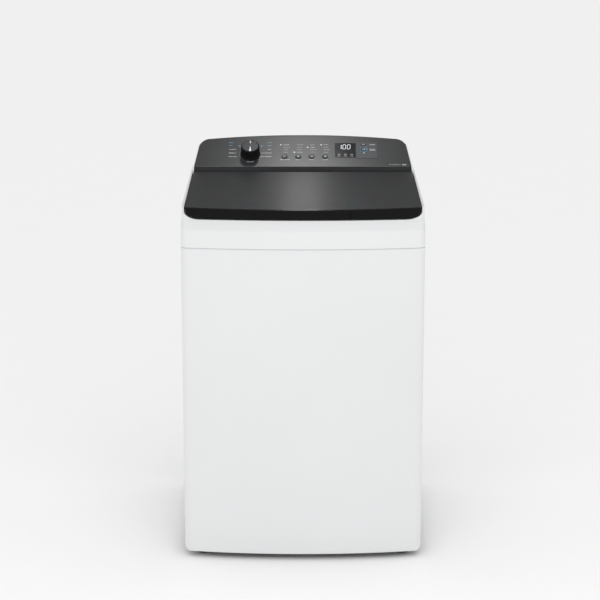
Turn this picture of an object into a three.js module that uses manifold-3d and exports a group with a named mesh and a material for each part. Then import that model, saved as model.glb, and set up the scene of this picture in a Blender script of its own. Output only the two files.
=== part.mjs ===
// Top load washing machine, built as an assembly of separate closed solids.
// Units are millimetres, +Z is up, the front faces -Y and the origin is on the
// floor under the middle of the overall box.

import * as THREE from 'three';
import { mergeVertices } from 'three/addons/utils/BufferGeometryUtils.js';
import Module from 'manifold-3d';

const wasm = await Module();
wasm.setup();

// ---------------------------------------------------------------- driving dimensions

const HALF_WIDTH = 300;
const FRONT_Y = -320;
const REAR_Y = 299;
const PORT_Y = 320;
const GAP = 0.3;

// The front bows outwards on one large radius and meets the sides in small corners.
const BOW_RADIUS = 1716;
const BOW_CENTRE_Y = FRONT_Y + BOW_RADIUS;
const CORNER_RADIUS = 20;

const CABINET_BOTTOM = 15;
const SEAM_Z = 798;
const SHEET = 1.8;
const BOTTOM_CORNER = 15;

// Top deck: an upright band, a ridge, a 48 degree apron and the seat of the lid.
const RIDGE_Z = 843;
const APRON_TOP_Z = 867;
const APRON_TOP_Y = -298.4;
const RAIL_FRONT_Z = 893;
const RAIL_HALF_WIDTH = 298;
const CONSOLE_HALF_WIDTH = 292.6;
const CONSOLE_SIDE_Z = 940;
/** Share of the console's width lost for each millimetre above its side height. */
const CONSOLE_TAPER = 0.0008;
const DECK_WALL = 3.5;

// Lid: a sloping plate with a deep front lip.
const LID_SLOPE = THREE.MathUtils.degToRad(5.2);
const LID_FRONT_Y = -298;
const LID_FRONT_Z = 891;
const LID_REAR_Y = 105;
const LID_HALF_WIDTH = 290.4;
const LID_THICKNESS = 14;
const LID_CLEARANCE = 2;
const GLASS_THICKNESS = 4;
const LIP_BOTTOM_Z = 867.5;
const LIP_WALL = 4;
const HINGE_Y = 101;
const HINGE_Z = 916;
const HINGE_PIN_RADIUS = 3;

// Console: a face leaning back from its lower edge up to a crowned crest.
const FACE_TILT = THREE.MathUtils.degToRad(34);
const FACE_Y = 132;
const FACE_Z = 937;
const FACE_LENGTH = 124;
const FASCIA_THICKNESS = 4;
const FASCIA_HALF_WIDTH = 289.5;
const CROWN_RADIUS = 2976;
const CROWN_Z = 1009.5;
const CROWN_CORNER = 25;
const CREST_Y = 238;
const CREST_FALL = THREE.MathUtils.degToRad(14);

// Tub, basket and drive share one upright axis.
const TUB_Y = -10;
const TUB_RADIUS = 268;
const TUB_BOTTOM = 190;
const TUB_TOP = 760;
const BASKET_RADIUS = 245;
const BASKET_BOTTOM = 205;
const BASKET_TOP = 721.7;
const SHAFT_RADIUS = 10;
const PULLEY_RADIUS = 92;
const MOTOR_X = 165;
const MOTOR_Y = 60;
const MOTOR_PULLEY_RADIUS = 24;
const BELT_BOTTOM = 83;
const BELT_TOP = 92;
const BELT_DEPTH = 6;
const ROD_X = 240;
const ROD_OFFSET_Y = 232;
const LUG_BOTTOM = 330;
const LUG_TOP = 350;
const PUMP_X = -150;
const PUMP_Y = 60;
const FOOT_X = 252;
const FOOT_Y = 248;

// ---------------------------------------------------------------- materials

const finish = (color, roughness, metalness = 0) => (
  new THREE.MeshStandardMaterial({ color, roughness, metalness })
);
const whitePaint = finish('#e9eaeb', 0.3);
const whitePlastic = finish('#eceded', 0.35);
const blackPlastic = finish('#1c1d1f', 0.35);
const fasciaGloss = finish('#46484b', 0.25);
const panelGrey = finish('#77797c', 0.4);
const displayBlack = finish('#141517', 0.2);
const tintedGlass = finish('#55585b', 0.12);
const buttonSilver = finish('#a9acb0', 0.35, 0.6);
const knobBlack = finish('#232426', 0.3);
const stainless = finish('#c2c5c8', 0.3, 0.9);
const zincSteel = finish('#a7abaf', 0.45, 0.8);
const darkSteel = finish('#5b5f64', 0.5, 0.7);
const greyPlastic = finish('#b9bdc0', 0.5);
const bluePlastic = finish('#9fb6c6', 0.45);
const rubber = finish('#222222', 0.85);
const boardGreen = finish('#2f6144', 0.6);
const castAlloy = finish('#9a9da0', 0.55, 0.7);

// ---------------------------------------------------------------- solids

/** Signed volume of an indexed triangle mesh. */
function signedVolume(positions, indices) {
  const a = new THREE.Vector3();
  const b = new THREE.Vector3();
  const c = new THREE.Vector3();
  let volume = 0;
  for (let i = 0; i < indices.length; i += 3) {
    a.fromArray(positions, indices[i] * 3);
    b.fromArray(positions, indices[i + 1] * 3);
    c.fromArray(positions, indices[i + 2] * 3);
    volume += a.dot(b.cross(c)) / 6;
  }
  return volume;
}

/** A closed solid made from a closed three.js geometry, with its faces pointing out. */
function solid(geometry) {
  geometry.deleteAttribute('normal');
  geometry.deleteAttribute('uv');
  const merged = mergeVertices(geometry, 1e-3);
  const corners = merged.index.array;
  const positions = Float32Array.from(merged.attributes.position.array);
  const triangles = [];
  for (let i = 0; i < corners.length; i += 3) {
    const [a, b, c] = [corners[i], corners[i + 1], corners[i + 2]];
    if (a !== b && b !== c && c !== a) {
      triangles.push(a, b, c);
    }
  }
  if (signedVolume(positions, triangles) < 0) {
    triangles.reverse();
  }
  return new wasm.Manifold(new wasm.Mesh({
    numProp: 3,
    vertProperties: positions,
    triVerts: Uint32Array.from(triangles),
  }));
}

/** Adds a named mesh of a solid to a group. */
function addPart(group, name, body, material) {
  const { vertProperties, triVerts } = body.getMesh();
  const geometry = new THREE.BufferGeometry();
  geometry.setAttribute('position', new THREE.BufferAttribute(vertProperties, 3));
  geometry.setIndex(new THREE.BufferAttribute(triVerts, 1));
  geometry.computeVertexNormals();
  const mesh = new THREE.Mesh(geometry, material);
  mesh.name = name;
  group.add(mesh);
  return mesh;
}

/** Points along an arc of a circle or an ellipse, both ends included. */
function arc(centreX, centreY, radiusX, radiusY, from, to, steps) {
  const points = [];
  for (let i = 0; i <= steps; i += 1) {
    const angle = from + (to - from) * i / steps;
    const x = centreX + radiusX * Math.cos(angle);
    const y = centreY + radiusY * Math.sin(angle);
    points.push(new THREE.Vector2(x, y));
  }
  return points;
}

/** A full circle or ellipse as an outline. */
function ring(centreX, centreY, radiusX, radiusY, steps) {
  return arc(centreX, centreY, radiusX, radiusY, 0, Math.PI * 2, steps).slice(0, steps);
}

/** A rectangle with round corners. */
function roundedRect(x0, x1, y0, y1, radius, steps = 4) {
  const quarter = Math.PI / 2;
  return [
    ...arc(x1 - radius, y0 + radius, radius, radius, -quarter, 0, steps),
    ...arc(x1 - radius, y1 - radius, radius, radius, 0, quarter, steps),
    ...arc(x0 + radius, y1 - radius, radius, radius, quarter, quarter * 2, steps),
    ...arc(x0 + radius, y0 + radius, radius, radius, quarter * 2, quarter * 3, steps),
  ];
}

/** A rectangle-like outline whose -Y side is bowed on a large radius. */
function bowedOutline(halfWidth, apex, corner, far, bowRadius = BOW_CENTRE_Y - apex) {
  const centreY = apex + bowRadius;
  const cornerX = halfWidth - corner;
  const cornerY = centreY - Math.sqrt((bowRadius - corner) ** 2 - cornerX ** 2);
  const lean = Math.asin(cornerX / (bowRadius - corner));
  const quarter = Math.PI / 2;
  const farCorner = 4;
  return [
    ...arc(cornerX, cornerY, corner, corner, lean - quarter, 0, 4),
    ...arc(halfWidth - farCorner, far - farCorner, farCorner, farCorner, 0, quarter, 2),
    ...arc(farCorner - halfWidth, far - farCorner, farCorner, farCorner, quarter, Math.PI, 2),
    ...arc(-cornerX, cornerY, corner, corner, Math.PI, 3 * quarter - lean, 4),
    ...arc(0, centreY, bowRadius, bowRadius, -quarter - lean, lean - quarter, 12).slice(1, 12),
  ];
}

/** An outline in XY extruded from z0 up to z1. */
function prismZ(outline, z0, z1) {
  const shape = new THREE.Shape(outline);
  const geometry = new THREE.ExtrudeGeometry(shape, { depth: z1 - z0, bevelEnabled: false });
  return solid(geometry.translate(0, 0, z0));
}

/** An outline in YZ extruded from x0 to x1. */
function prismX(outline, x0, x1) {
  const shape = new THREE.Shape(outline.map(([y, z]) => new THREE.Vector2(y, z)));
  const geometry = new THREE.ExtrudeGeometry(shape, { depth: x1 - x0, bevelEnabled: false });
  const turn = new THREE.Matrix4().set(0, 0, 1, x0, 1, 0, 0, 0, 0, 1, 0, 0, 0, 0, 0, 1);
  return solid(geometry.applyMatrix4(turn));
}

/** An outline in XZ extruded from y0 to y1, turned about X around (pivotY, pivotZ). */
function prismY(outline, y0, y1, tilt = 0, pivotY = 0, pivotZ = 0) {
  const shape = new THREE.Shape(outline);
  const geometry = new THREE.ExtrudeGeometry(shape, { depth: y1 - y0, bevelEnabled: false });
  geometry.rotateX(Math.PI / 2).translate(0, y1, 0);
  geometry.translate(0, -pivotY, -pivotZ).rotateX(-tilt).translate(0, pivotY, pivotZ);
  return solid(geometry);
}

/** An axis-aligned box between two corners. */
function block(x0, x1, y0, y1, z0, z1) {
  const geometry = new THREE.BoxGeometry(x1 - x0, y1 - y0, z1 - z0);
  return solid(geometry.translate((x0 + x1) / 2, (y0 + y1) / 2, (z0 + z1) / 2));
}

/** An upright cylinder. */
function post(x, y, z0, z1, radius, sides = 16) {
  const geometry = new THREE.CylinderGeometry(radius, radius, z1 - z0, sides);
  return solid(geometry.rotateX(Math.PI / 2).translate(x, y, (z0 + z1) / 2));
}

/** A cylinder that lies along Y. */
function barY(x, z, y0, y1, radius, sides = 14) {
  const geometry = new THREE.CylinderGeometry(radius, radius, y1 - y0, sides);
  return solid(geometry.translate(x, (y0 + y1) / 2, z));
}

/** A cylinder that lies along X. */
function barX(y, z, x0, x1, radius, sides = 10) {
  const geometry = new THREE.CylinderGeometry(radius, radius, x1 - x0, sides);
  return solid(geometry.rotateZ(Math.PI / 2).translate((x0 + x1) / 2, y, z));
}

/** A closed profile of [radius, height] pairs turned about an upright axis. */
function turned(profile, sides, x = 0, y = 0) {
  const closed = [...profile, profile[0]];
  const points = closed.map(([radius, height]) => new THREE.Vector2(radius, height));
  const geometry = new THREE.LatheGeometry(points, sides);
  return solid(geometry.rotateX(Math.PI / 2).translate(x, y, 0));
}

/** A solid through a stack of outlines, each { outline, z }, capped at both ends. */
function loft(sections) {
  const count = sections[0].outline.length;
  const positions = [];
  const indices = [];
  for (const { outline, z } of sections) {
    for (const point of outline) {
      positions.push(point.x, point.y, z);
    }
  }
  for (let level = 0; level + 1 < sections.length; level += 1) {
    for (let i = 0; i < count; i += 1) {
      const a = level * count + i;
      const b = level * count + (i + 1) % count;
      indices.push(a, b, b + count, a, b + count, a + count);
    }
  }
  for (const [level, isTop] of [[0, false], [sections.length - 1, true]]) {
    const start = level * count;
    for (let i = 1; i + 1 < count; i += 1) {
      const pair = isTop ? [start + i, start + i + 1] : [start + i + 1, start + i];
      indices.push(start, ...pair);
    }
  }
  const geometry = new THREE.BufferGeometry();
  geometry.setAttribute('position', new THREE.Float32BufferAttribute(positions, 3));
  geometry.setIndex(indices);
  return solid(geometry);
}

/** A round section swept along a curve. */
function tube(curve, radius, steps, sides) {
  const section = new THREE.Shape(ring(0, 0, radius, radius, sides));
  const options = { steps, bevelEnabled: false, extrudePath: curve };
  return solid(new THREE.ExtrudeGeometry(section, options));
}

/** Moves each point of an open YZ path to its right by a distance. */
function offsetPath(path, distance) {
  return path.map(([y, z], i) => {
    const [y0, z0] = path[Math.max(i - 1, 0)];
    const [y1, z1] = path[Math.min(i + 1, path.length - 1)];
    const length = Math.hypot(y1 - y0, z1 - z0);
    return [y + (z1 - z0) / length * distance, z - (y1 - y0) / length * distance];
  });
}

/** The matrix that carries console face coordinates (x, up the face, out of it) to the frame. */
const faceMatrix = new THREE.Matrix4().makeRotationX(FACE_TILT).setPosition(0, FACE_Y, FACE_Z);

/** Carries a face-local solid into the object frame. */
const ontoFace = (body) => body.transform(faceMatrix.toArray());

/** Height of the closed lid's top surface above a point at depth y. */
const lidTop = (y) => LID_FRONT_Z + (y - LID_FRONT_Y) * Math.tan(LID_SLOPE);

/** Height of the deck floor that the lid lies over. */
const floorTop = (y) => lidTop(y) - LID_THICKNESS - LID_CLEARANCE;

/** Everything under a line of height(y) between two depths. */
function underSlope(height, y0, y1, bottom) {
  return prismX([[y0, bottom], [y1, bottom], [y1, height(y1)], [y0, height(y0)]], -320, 320);
}

// ---------------------------------------------------------------- cabinet

/** Corner positions of the four suspension rods. */
const rodCorners = [
  ['front_left', -ROD_X, TUB_Y - ROD_OFFSET_Y],
  ['front_right', ROD_X, TUB_Y - ROD_OFFSET_Y],
  ['rear_left', -ROD_X, TUB_Y + ROD_OFFSET_Y],
  ['rear_right', ROD_X, TUB_Y + ROD_OFFSET_Y],
];

/** Wrap of front and sides with rear return flanges and four hanger brackets. */
function cabinetShell() {
  const outline = bowedOutline(HALF_WIDTH, FRONT_Y, CORNER_RADIUS, REAR_Y);
  const innerHalf = HALF_WIDTH - SHEET;
  const innerFront = FRONT_Y + SHEET;
  const inner = bowedOutline(innerHalf, innerFront, CORNER_RADIUS - SHEET, REAR_Y - SHEET);
  const elevation = roundedRect(-HALF_WIDTH, HALF_WIDTH, CABINET_BOTTOM, 900, BOTTOM_CORNER);
  let shell = prismZ(outline, CABINET_BOTTOM, SEAM_Z - GAP);
  shell = shell.intersect(prismY(elevation, -340, 320));
  shell = shell.subtract(prismZ(inner, CABINET_BOTTOM - 5, SEAM_Z + 5));
  shell = shell.subtract(block(-270, 270, REAR_Y - 10, REAR_Y + 10, 0, 900));
  for (const [, x, y] of rodCorners) {
    const side = Math.sign(x);
    const inside = Math.min(side * 214, side * 298.5);
    const bracket = block(inside, inside + 84.5, y - 26, y + 26, 750, 754);
    shell = shell.add(bracket.subtract(post(x, y, 740, 760, 8, 12)));
  }
  return shell;
}

/** Back sheet on the return flanges, with holes for the drain port, cord gland and service. */
function rearPanel() {
  let panel = block(-290, 290, REAR_Y + GAP, REAR_Y + 2.3, 32, SEAM_Z - 0.6);
  panel = panel.subtract(block(-110, 110, REAR_Y - 5, REAR_Y + 10, 120, 420));
  panel = panel.subtract(barY(-200, 140, REAR_Y - 5, REAR_Y + 10, 15));
  return panel.subtract(barY(230, 720, REAR_Y - 5, REAR_Y + 10, 10));
}

/** Service plate with pressed edges over the opening in the back sheet. */
function rearAccessCover() {
  const y = REAR_Y + 2.3 + GAP;
  const dish = block(-128, 128, y, y + 2, 102, 438);
  return dish.add(block(-100, 100, y + 2, y + 6, 130, 410));
}

/** Base ring with corner plates for the feet and a shelf for the pump. */
function baseFrame() {
  const outline = bowedOutline(HALF_WIDTH - 3.5, FRONT_Y + 3.5, CORNER_RADIUS - 3.5, REAR_Y - 3.5);
  const opening = [
    [-175, -258], [175, -258], [250, -183], [250, 180],
    [175, 255], [-175, 255], [-250, 180], [-250, -183],
  ].map(([x, y]) => new THREE.Vector2(x, y));
  let frame = prismZ(outline, 22, 50).subtract(prismZ(opening, 10, 60));
  frame = frame.add(block(PUMP_X - 48, PUMP_X + 48, -270, 265, 22, 30));
  for (const x of [-FOOT_X, FOOT_X]) {
    for (const y of [-FOOT_Y, FOOT_Y]) {
      frame = frame.subtract(post(x, y, 10, 70, 5.8, 16));
    }
  }
  return frame;
}

/** Rubber-faced pad on a threaded stem. */
function levelingFoot() {
  return turned([
    [0, 0], [21, 0], [23, 3], [23, 9], [14, 13], [5, 14], [5, 72], [0, 72],
  ], 12);
}

// ---------------------------------------------------------------- top deck

/** Stack of plan outlines from the seam up, moved in from the outer face by an inset. */
function deckBody(inset, bottom) {
  const at = (z, halfWidth, front, corner) => ({
    z,
    outline: bowedOutline(halfWidth - inset, front + inset, corner, REAR_Y - inset),
  });
  return loft([
    at(bottom, HALF_WIDTH, FRONT_Y, 19),
    at(RIDGE_Z - 5, 299.4, FRONT_Y, 19),
    at(RIDGE_Z - 1.5, 299.3, FRONT_Y + 1, 18),
    at(RIDGE_Z + 1.5, 299.2, FRONT_Y + 3, 18),
    at(APRON_TOP_Z, 298.6, APRON_TOP_Y, 15),
    at(RAIL_FRONT_Z, RAIL_HALF_WIDTH, APRON_TOP_Y + 0.6, 13),
    at(CONSOLE_SIDE_Z, CONSOLE_HALF_WIDTH, APRON_TOP_Y + 1, 12),
    at(1015, CONSOLE_HALF_WIDTH, APRON_TOP_Y + 1, 12),
  ]);
}

/** The apron carried on upwards behind the lid's lip at its own slope. */
function deckCore(inset) {
  const rise = 60;
  const stepBack = 7;
  const at = (z, front) => ({
    z,
    outline: bowedOutline(RAIL_HALF_WIDTH - 1 - inset, front + inset, 15, 112),
  });
  const slope = (APRON_TOP_Y - FRONT_Y) / (APRON_TOP_Z - RIDGE_Z);
  return loft([
    at(SEAM_Z + 8, FRONT_Y + 2),
    at(RIDGE_Z, FRONT_Y + 2),
    at(APRON_TOP_Z - 2, APRON_TOP_Y + stepBack),
    at(APRON_TOP_Z + rise, APRON_TOP_Y + stepBack + rise * slope),
  ]);
}

/** A console half width at a height, on sides that lean inwards. */
const leaning = (halfWidth, z) => halfWidth * (1 - CONSOLE_TAPER * (z - CONSOLE_SIDE_Z));

/** Outside of the crowned top, its round upper corners and its leaning sides. */
function crownCutter(halfWidth, inset) {
  const apex = inset - CROWN_Z;
  const outline = bowedOutline(halfWidth - inset, apex, CROWN_CORNER, -880, CROWN_RADIUS)
    .map((point) => new THREE.Vector2(point.x, -point.y));
  const keep = prismY(outline, 60, 360, CREST_FALL, CREST_Y, CROWN_Z).warp((point) => {
    point[0] = leaning(point[0], point[2]);
  });
  return block(-320, 320, 90, 330, CONSOLE_SIDE_Z, 1100).subtract(keep);
}

/** Everything between two leaning sides of the console. */
function betweenSides(halfWidth) {
  const top = leaning(halfWidth, 1100);
  return prismY([
    [-halfWidth, 840], [halfWidth, 840], [halfWidth, CONSOLE_SIDE_Z], [top, 1100],
    [-top, 1100], [-halfWidth, CONSOLE_SIDE_Z],
  ].map(([x, z]) => new THREE.Vector2(x, z)), 60, 360);
}

/** Outer surface of the console in YZ: scooped channel, lower rim, face and crest. */
const consolePath = [
  [113, 914.5], [120, 913.5], [127, 916.5], [131, 924], [132.2, 934],
  [134.5, 938.7],
  [FACE_Y + FACE_LENGTH * Math.cos(FACE_TILT), FACE_Z + FACE_LENGTH * Math.sin(FACE_TILT)],
  [240, 1008.6], [247, 1008], [253, 1006.2],
];

/** Top edge of the deck's side rails in YZ. */
const railPath = [
  [-330, RAIL_FRONT_Z], [-296, RAIL_FRONT_Z], [112, 931], [134.5, 938.7],
  ...consolePath.slice(6), [290, 997], [299.5, 987],
];

/** Side view of everything below the rails, or below them by an inset. */
function underRails(inset) {
  const top = railPath.map(([y, z]) => [y, z - inset]);
  return prismX([[-330, 700], ...top, [299.5, 700]], -320, 320);
}

/** Front view of the lid with its round lower front corners, grown by a margin. */
function lidElevation(margin, y0, y1) {
  const halfWidth = LID_HALF_WIDTH + margin;
  const bottom = LIP_BOTTOM_Z - margin;
  const quarter = Math.PI / 2;
  const outline = [
    ...arc(38 - halfWidth, bottom + 19, 38, 19, 2 * quarter, 3 * quarter, 7),
    ...arc(halfWidth - 38, bottom + 19, 38, 19, 3 * quarter, 4 * quarter, 7),
    new THREE.Vector2(halfWidth, 1100),
    new THREE.Vector2(-halfWidth, 1100),
  ];
  return prismY(outline, y0, y1);
}

/** The wash opening in the deck, an ellipse set towards the front. */
const throat = (margin) => ring(0, -77.5, 200 + margin, 162.5 + margin, 28);

/** Depths and widths of the two dispenser pockets, given for the right-hand one. */
const POCKET = { inner: 140, outer: 272, front: -262, rear: -172, bottom: 834 };

/** Box of one dispenser pocket, grown by a margin. */
function pocketBox(side, margin, top) {
  const { inner, outer, front, rear, bottom } = POCKET;
  const xs = [side * (inner - margin), side * (outer + margin)].sort((a, b) => a - b);
  return block(...xs, front - margin, rear + margin, bottom - margin, top);
}

/** One moulding: bands, apron, lid seat with wash opening, rails and console body. */
function topDeck() {
  const floor = underSlope(floorTop, -330, 112, 700);
  const underFloor = underSlope((y) => floorTop(y) - DECK_WALL, -340, 113, 700);
  const consoleHollow = offsetPath(consolePath, FASCIA_THICKNESS + GAP + 3);
  const consoleUnder = prismX([
    [109, 700], [109, 904], ...consoleHollow.slice(1), [287, 990], [294, 984], [294, 700],
  ], -320, 320);
  let deck = deckBody(0, SEAM_Z).intersect(underRails(0));
  deck = deck.subtract(lidElevation(1.8, -340, 112.5));
  deck = deck.add(deckCore(0).intersect(floor));
  deck = deck.subtract(crownCutter(CONSOLE_HALF_WIDTH, 0));
  const coreHollow = deckCore(DECK_WALL).intersect(underFloor);
  const lowBands = block(-320, 320, -340, 112, 700, RIDGE_Z - 2);
  const lowHollow = deckBody(DECK_WALL, SEAM_Z - 8).intersect(lowBands);
  let rearHollow = deckBody(DECK_WALL, SEAM_Z - 8).intersect(consoleUnder);
  rearHollow = rearHollow.subtract(crownCutter(CONSOLE_HALF_WIDTH, DECK_WALL));
  deck = deck.subtract(coreHollow).subtract(lowHollow).subtract(rearHollow);
  const skirt = prismZ(throat(3), 862, 925).intersect(floor);
  deck = deck.add(skirt.subtract(block(-200, 200, -300, POCKET.rear + 4, 800, 874)));
  for (const side of [-1, 1]) {
    deck = deck.add(pocketBox(side, 2.5, 900).intersect(floor));
  }
  deck = deck.subtract(prismZ(throat(0), 780, 950));
  for (const side of [-1, 1]) {
    const way = [side * (POCKET.inner - 60), side * POCKET.outer].sort((a, b) => a - b);
    deck = deck.subtract(pocketBox(side, 0, 950));
    deck = deck.subtract(block(...way, POCKET.front, POCKET.rear, POCKET.bottom, 873.4));
    const [x0, x1] = side > 0 ? [288, 295.5] : [-295.5, -288];
    deck = deck.subtract(barX(HINGE_Y, HINGE_Z, x0, x1, 3.4, 12));
  }
  return deck.subtract(consoleCuts()).trimByPlane([0, 0, 1], SEAM_Z);
}

// ---------------------------------------------------------------- console

const KNOB = { x: -140.6, v: 51, radius: 24.5, height: 30 };
const OPTION_BUTTONS = [-48.8, -12.1, 23.7, 59.8];
const OPTION_V = 41;
const OPTION_RADIUS = 7.9;
const POWER = { x: 163.6, v: 88.6, radius: 6.5 };
const START = { x: 164.4, v: 69, radius: 10.8 };
const DISPLAY = { x0: 86.6, x1: 142.3, v0: 36.6, v1: 95.7 };
const START_PANEL = { x0: 143.5, x1: 201.5, v0: 34, v1: 98.6 };
const VALVE_PORTS = [-224, -176];
const VALVE_Z = 880;

/** All press buttons: name, place on the face and cap radius. */
const buttons = [
  ...OPTION_BUTTONS.map((x, i) => (
    { name: `option_button_${i + 1}`, x, v: OPTION_V, radius: OPTION_RADIUS }
  )),
  { name: 'power_button', ...POWER },
  { name: 'start_button', ...START },
];

/** Recess for the fascia, holes under the controls and holes for the rear water ports. */
function consoleCuts() {
  const seat = offsetPath(consolePath, FASCIA_THICKNESS + GAP);
  const above = [[275, 1030], [100, 1030], [100, 909.5]];
  const width = FASCIA_HALF_WIDTH + GAP;
  let cuts = prismX([...seat, ...above], -width, width).intersect(betweenSides(width));
  cuts = cuts.add(ontoFace(post(KNOB.x, KNOB.v, -14, 0, 8, 16)));
  for (const { x, v } of buttons) {
    cuts = cuts.add(ontoFace(post(x, v, -14, 0, 4, 10)));
  }
  cuts = cuts.add(ontoFace(block(DISPLAY.x0 + 6, DISPLAY.x1 - 6, 45, 88, -14, 0)));
  for (const x of VALVE_PORTS) {
    cuts = cuts.add(barY(x, VALVE_Z, 285, 305, 14.5));
  }
  return cuts;
}

/** Dark bent panel over the console from the channel behind the lid to the crest. */
function controlFascia() {
  const under = offsetPath(consolePath, FASCIA_THICKNESS).reverse();
  let panel = prismX([...consolePath, ...under], -FASCIA_HALF_WIDTH, FASCIA_HALF_WIDTH);
  panel = panel.subtract(crownCutter(FASCIA_HALF_WIDTH, 0));
  let cuts = post(KNOB.x, KNOB.v, -8, 4, 5, 16);
  for (const { x, v, radius } of buttons) {
    cuts = cuts.add(post(x, v, -8, 4, radius + 0.5, 16));
  }
  cuts = cuts.add(block(DISPLAY.x0, DISPLAY.x1, DISPLAY.v0, DISPLAY.v1, -8, 4));
  cuts = cuts.add(block(START_PANEL.x0, START_PANEL.x1, START_PANEL.v0, START_PANEL.v1, -1.6, 4));
  return panel.subtract(ontoFace(cuts));
}

/** Clear window set in the fascia over the digits. */
function displayWindow() {
  const { x0, x1, v0, v1 } = DISPLAY;
  return block(x0 + GAP, x1 - GAP, v0 + GAP, v1 - GAP, -FASCIA_THICKNESS + 0.2, -0.2);
}

/** Lighter plate around the power and start buttons. */
function startPanel() {
  const { x0, x1, v0, v1 } = START_PANEL;
  let plate = block(x0 + GAP, x1 - GAP, v0 + GAP, v1 - GAP, -1.3, 0.6);
  for (const { x, v, radius } of [POWER, START]) {
    plate = plate.subtract(post(x, v, -3, 3, radius + 0.5, 16));
  }
  return plate;
}

/** Push button: domed cap, shoulder and stem, made about its own axis. */
function pushButton(radius) {
  const top = 2.2;
  return turned([
    [0, -15], [2.5, -15], [2.5, -5], [3.4, -2.8], [radius, -2.8],
    [radius, top - 0.8], [radius - 0.8, top], [0, top],
  ], 12);
}

/** Selector knob with a skirt, a waist and a stem that goes down to the switch. */
function selectorKnob() {
  const { radius, height } = KNOB;
  return turned([
    [0, -24], [3.5, -24], [3.5, 0.8], [radius + 2, 0.8], [radius + 2, 3.5], [radius + 0.6, 5],
    [radius, height - 2], [radius - 2, height], [0, height],
  ], 20);
}

/** Rotary switch body with a socket for the knob's stem. */
function selectorSwitch() {
  return turned([
    [0, -34], [17, -34], [17, -12], [8, -12], [8, -8.5], [4.2, -8.5], [4.2, -26], [0, -26],
  ], 14);
}

/** Circuit board that carries the button switches and the display. */
function controlBoard() {
  const board = block(-80, 215, 20, 102, -21, -19);
  const parts = [block(92, 136, 48, 86, -19, -13), block(-60, -10, 60, 95, -27, -21)];
  return parts.reduce((sum, body) => sum.add(body), board);
}

// ---------------------------------------------------------------- lid

/** Plan of the lid, or of a band inside it, moved in from the lid's edges. */
const lidPlan = (side, front, rear = LID_REAR_Y) => (
  bowedOutline(LID_HALF_WIDTH - side, LID_FRONT_Y + front, 12, rear)
);

/** A slab of the lid between two depths below its top surface. */
function lidSlab(outline, upper, lower) {
  const below = underSlope((y) => lidTop(y) - upper, -330, 130, 700);
  const slab = prismZ(outline, 840, 960).intersect(below);
  return slab.subtract(underSlope((y) => lidTop(y) - lower, -340, 140, 600));
}

/** Inner frame of the lid with a window, bored at the rear for the hinge pins. */
function lidFrame() {
  let frame = lidSlab(lidPlan(0, LIP_WALL + GAP), GLASS_THICKNESS + GAP, LID_THICKNESS);
  frame = frame.subtract(prismZ(roundedRect(-218, 218, -240, 52, 6), 800, 1000));
  frame = frame.intersect(lidElevation(-LIP_WALL - GAP, -330, 130));
  for (const side of [-1, 1]) {
    const x0 = side > 0 ? 262 : -300;
    frame = frame.subtract(barX(HINGE_Y, HINGE_Z, x0, x0 + 38, HINGE_PIN_RADIUS + 0.4, 12));
  }
  return frame;
}

/** Tinted glass that covers the whole lid behind the lip. */
function lidGlass() {
  const slab = lidSlab(lidPlan(0, 9.3), 0, GLASS_THICKNESS);
  const bevel = 1.2;
  const inner = prismZ(lidPlan(bevel, 0, LID_REAR_Y - bevel), 800, 1000);
  const rim = lidSlab(lidPlan(-5, 9.3), -2, bevel).subtract(inner);
  return slab.subtract(rim).intersect(lidElevation(0, -330, 130));
}

/** Front lip: an upright skirt with round lower corners and a ledge up to the glass. */
function lidHandle() {
  const frontOnly = block(-320, 320, -330, -255, 700, 1000);
  const outer = lidSlab(lidPlan(0, 0), 0, 60);
  const behindSkirt = prismZ(lidPlan(-20, LIP_WALL), 700, 1000);
  const skirt = outer.subtract(behindSkirt);
  const ledge = lidSlab(lidPlan(LIP_WALL + GAP, 0), 0, GLASS_THICKNESS)
    .subtract(prismZ(lidPlan(-20, 9), 700, 1000));
  const chamfer = underSlope((y) => lidTop(y) + (y - LID_FRONT_Y) - 1.6, -330, -255, 700)
    .add(block(-320, 320, LID_FRONT_Y + 6, -250, 700, 1000));
  const whole = skirt.add(ledge).intersect(lidElevation(0, -330, 130));
  return whole.intersect(frontOnly).intersect(chamfer);
}

/** Hinge pin in the lid's side and the deck rail, along X. */
function hingePin(side) {
  const [x0, x1] = side > 0 ? [266, 295] : [-295, -266];
  return barX(HINGE_Y, HINGE_Z, x0, x1, HINGE_PIN_RADIUS, 12);
}

/** Lock box that hangs under the deck floor beside the opening. */
function lidLock() {
  return block(226, 282, -140, -84, 846, 884).add(block(240, 268, -84, -72, 856, 876));
}

/** Dispenser drawer: an open tray with a rounded pull towards the basket. */
function dispenserDrawer(side) {
  const clear = 1.2;
  const { inner, outer, front, rear, bottom } = POCKET;
  const xs = [side * (inner + 10), side * (outer - clear)].sort((a, b) => a - b);
  const inside = [side * (inner + 13), side * (outer - clear - 2.5)].sort((a, b) => a - b);
  const tray = block(...xs, front + clear, rear - clear, bottom + 0.6, 872);
  const hollow = block(...inside, front + clear + 2.5, rear - clear - 2.5, bottom + 3, 890);
  const pull = [side * (inner + 2), side * (inner + 10.5)].sort((a, b) => a - b);
  return tray.subtract(hollow).add(block(...pull, -240, -194, 866, 872));
}

// ---------------------------------------------------------------- water

/** Double inlet valve with its two hose connections through the back. */
function inletValve() {
  let valve = block(-246, -154, 240, 276, VALVE_Z - 20, VALVE_Z + 20);
  for (const x of VALVE_PORTS) {
    valve = valve.add(barY(x, VALVE_Z, 275, PORT_Y, 13));
    valve = valve.subtract(barY(x, VALVE_Z, 290, PORT_Y + 5, 9));
    valve = valve.add(post(x, 258, VALVE_Z + 19, VALVE_Z + 48, 13));
  }
  return valve.add(barY(-200, VALVE_Z - 6, 226, 241, 8));
}

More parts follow.
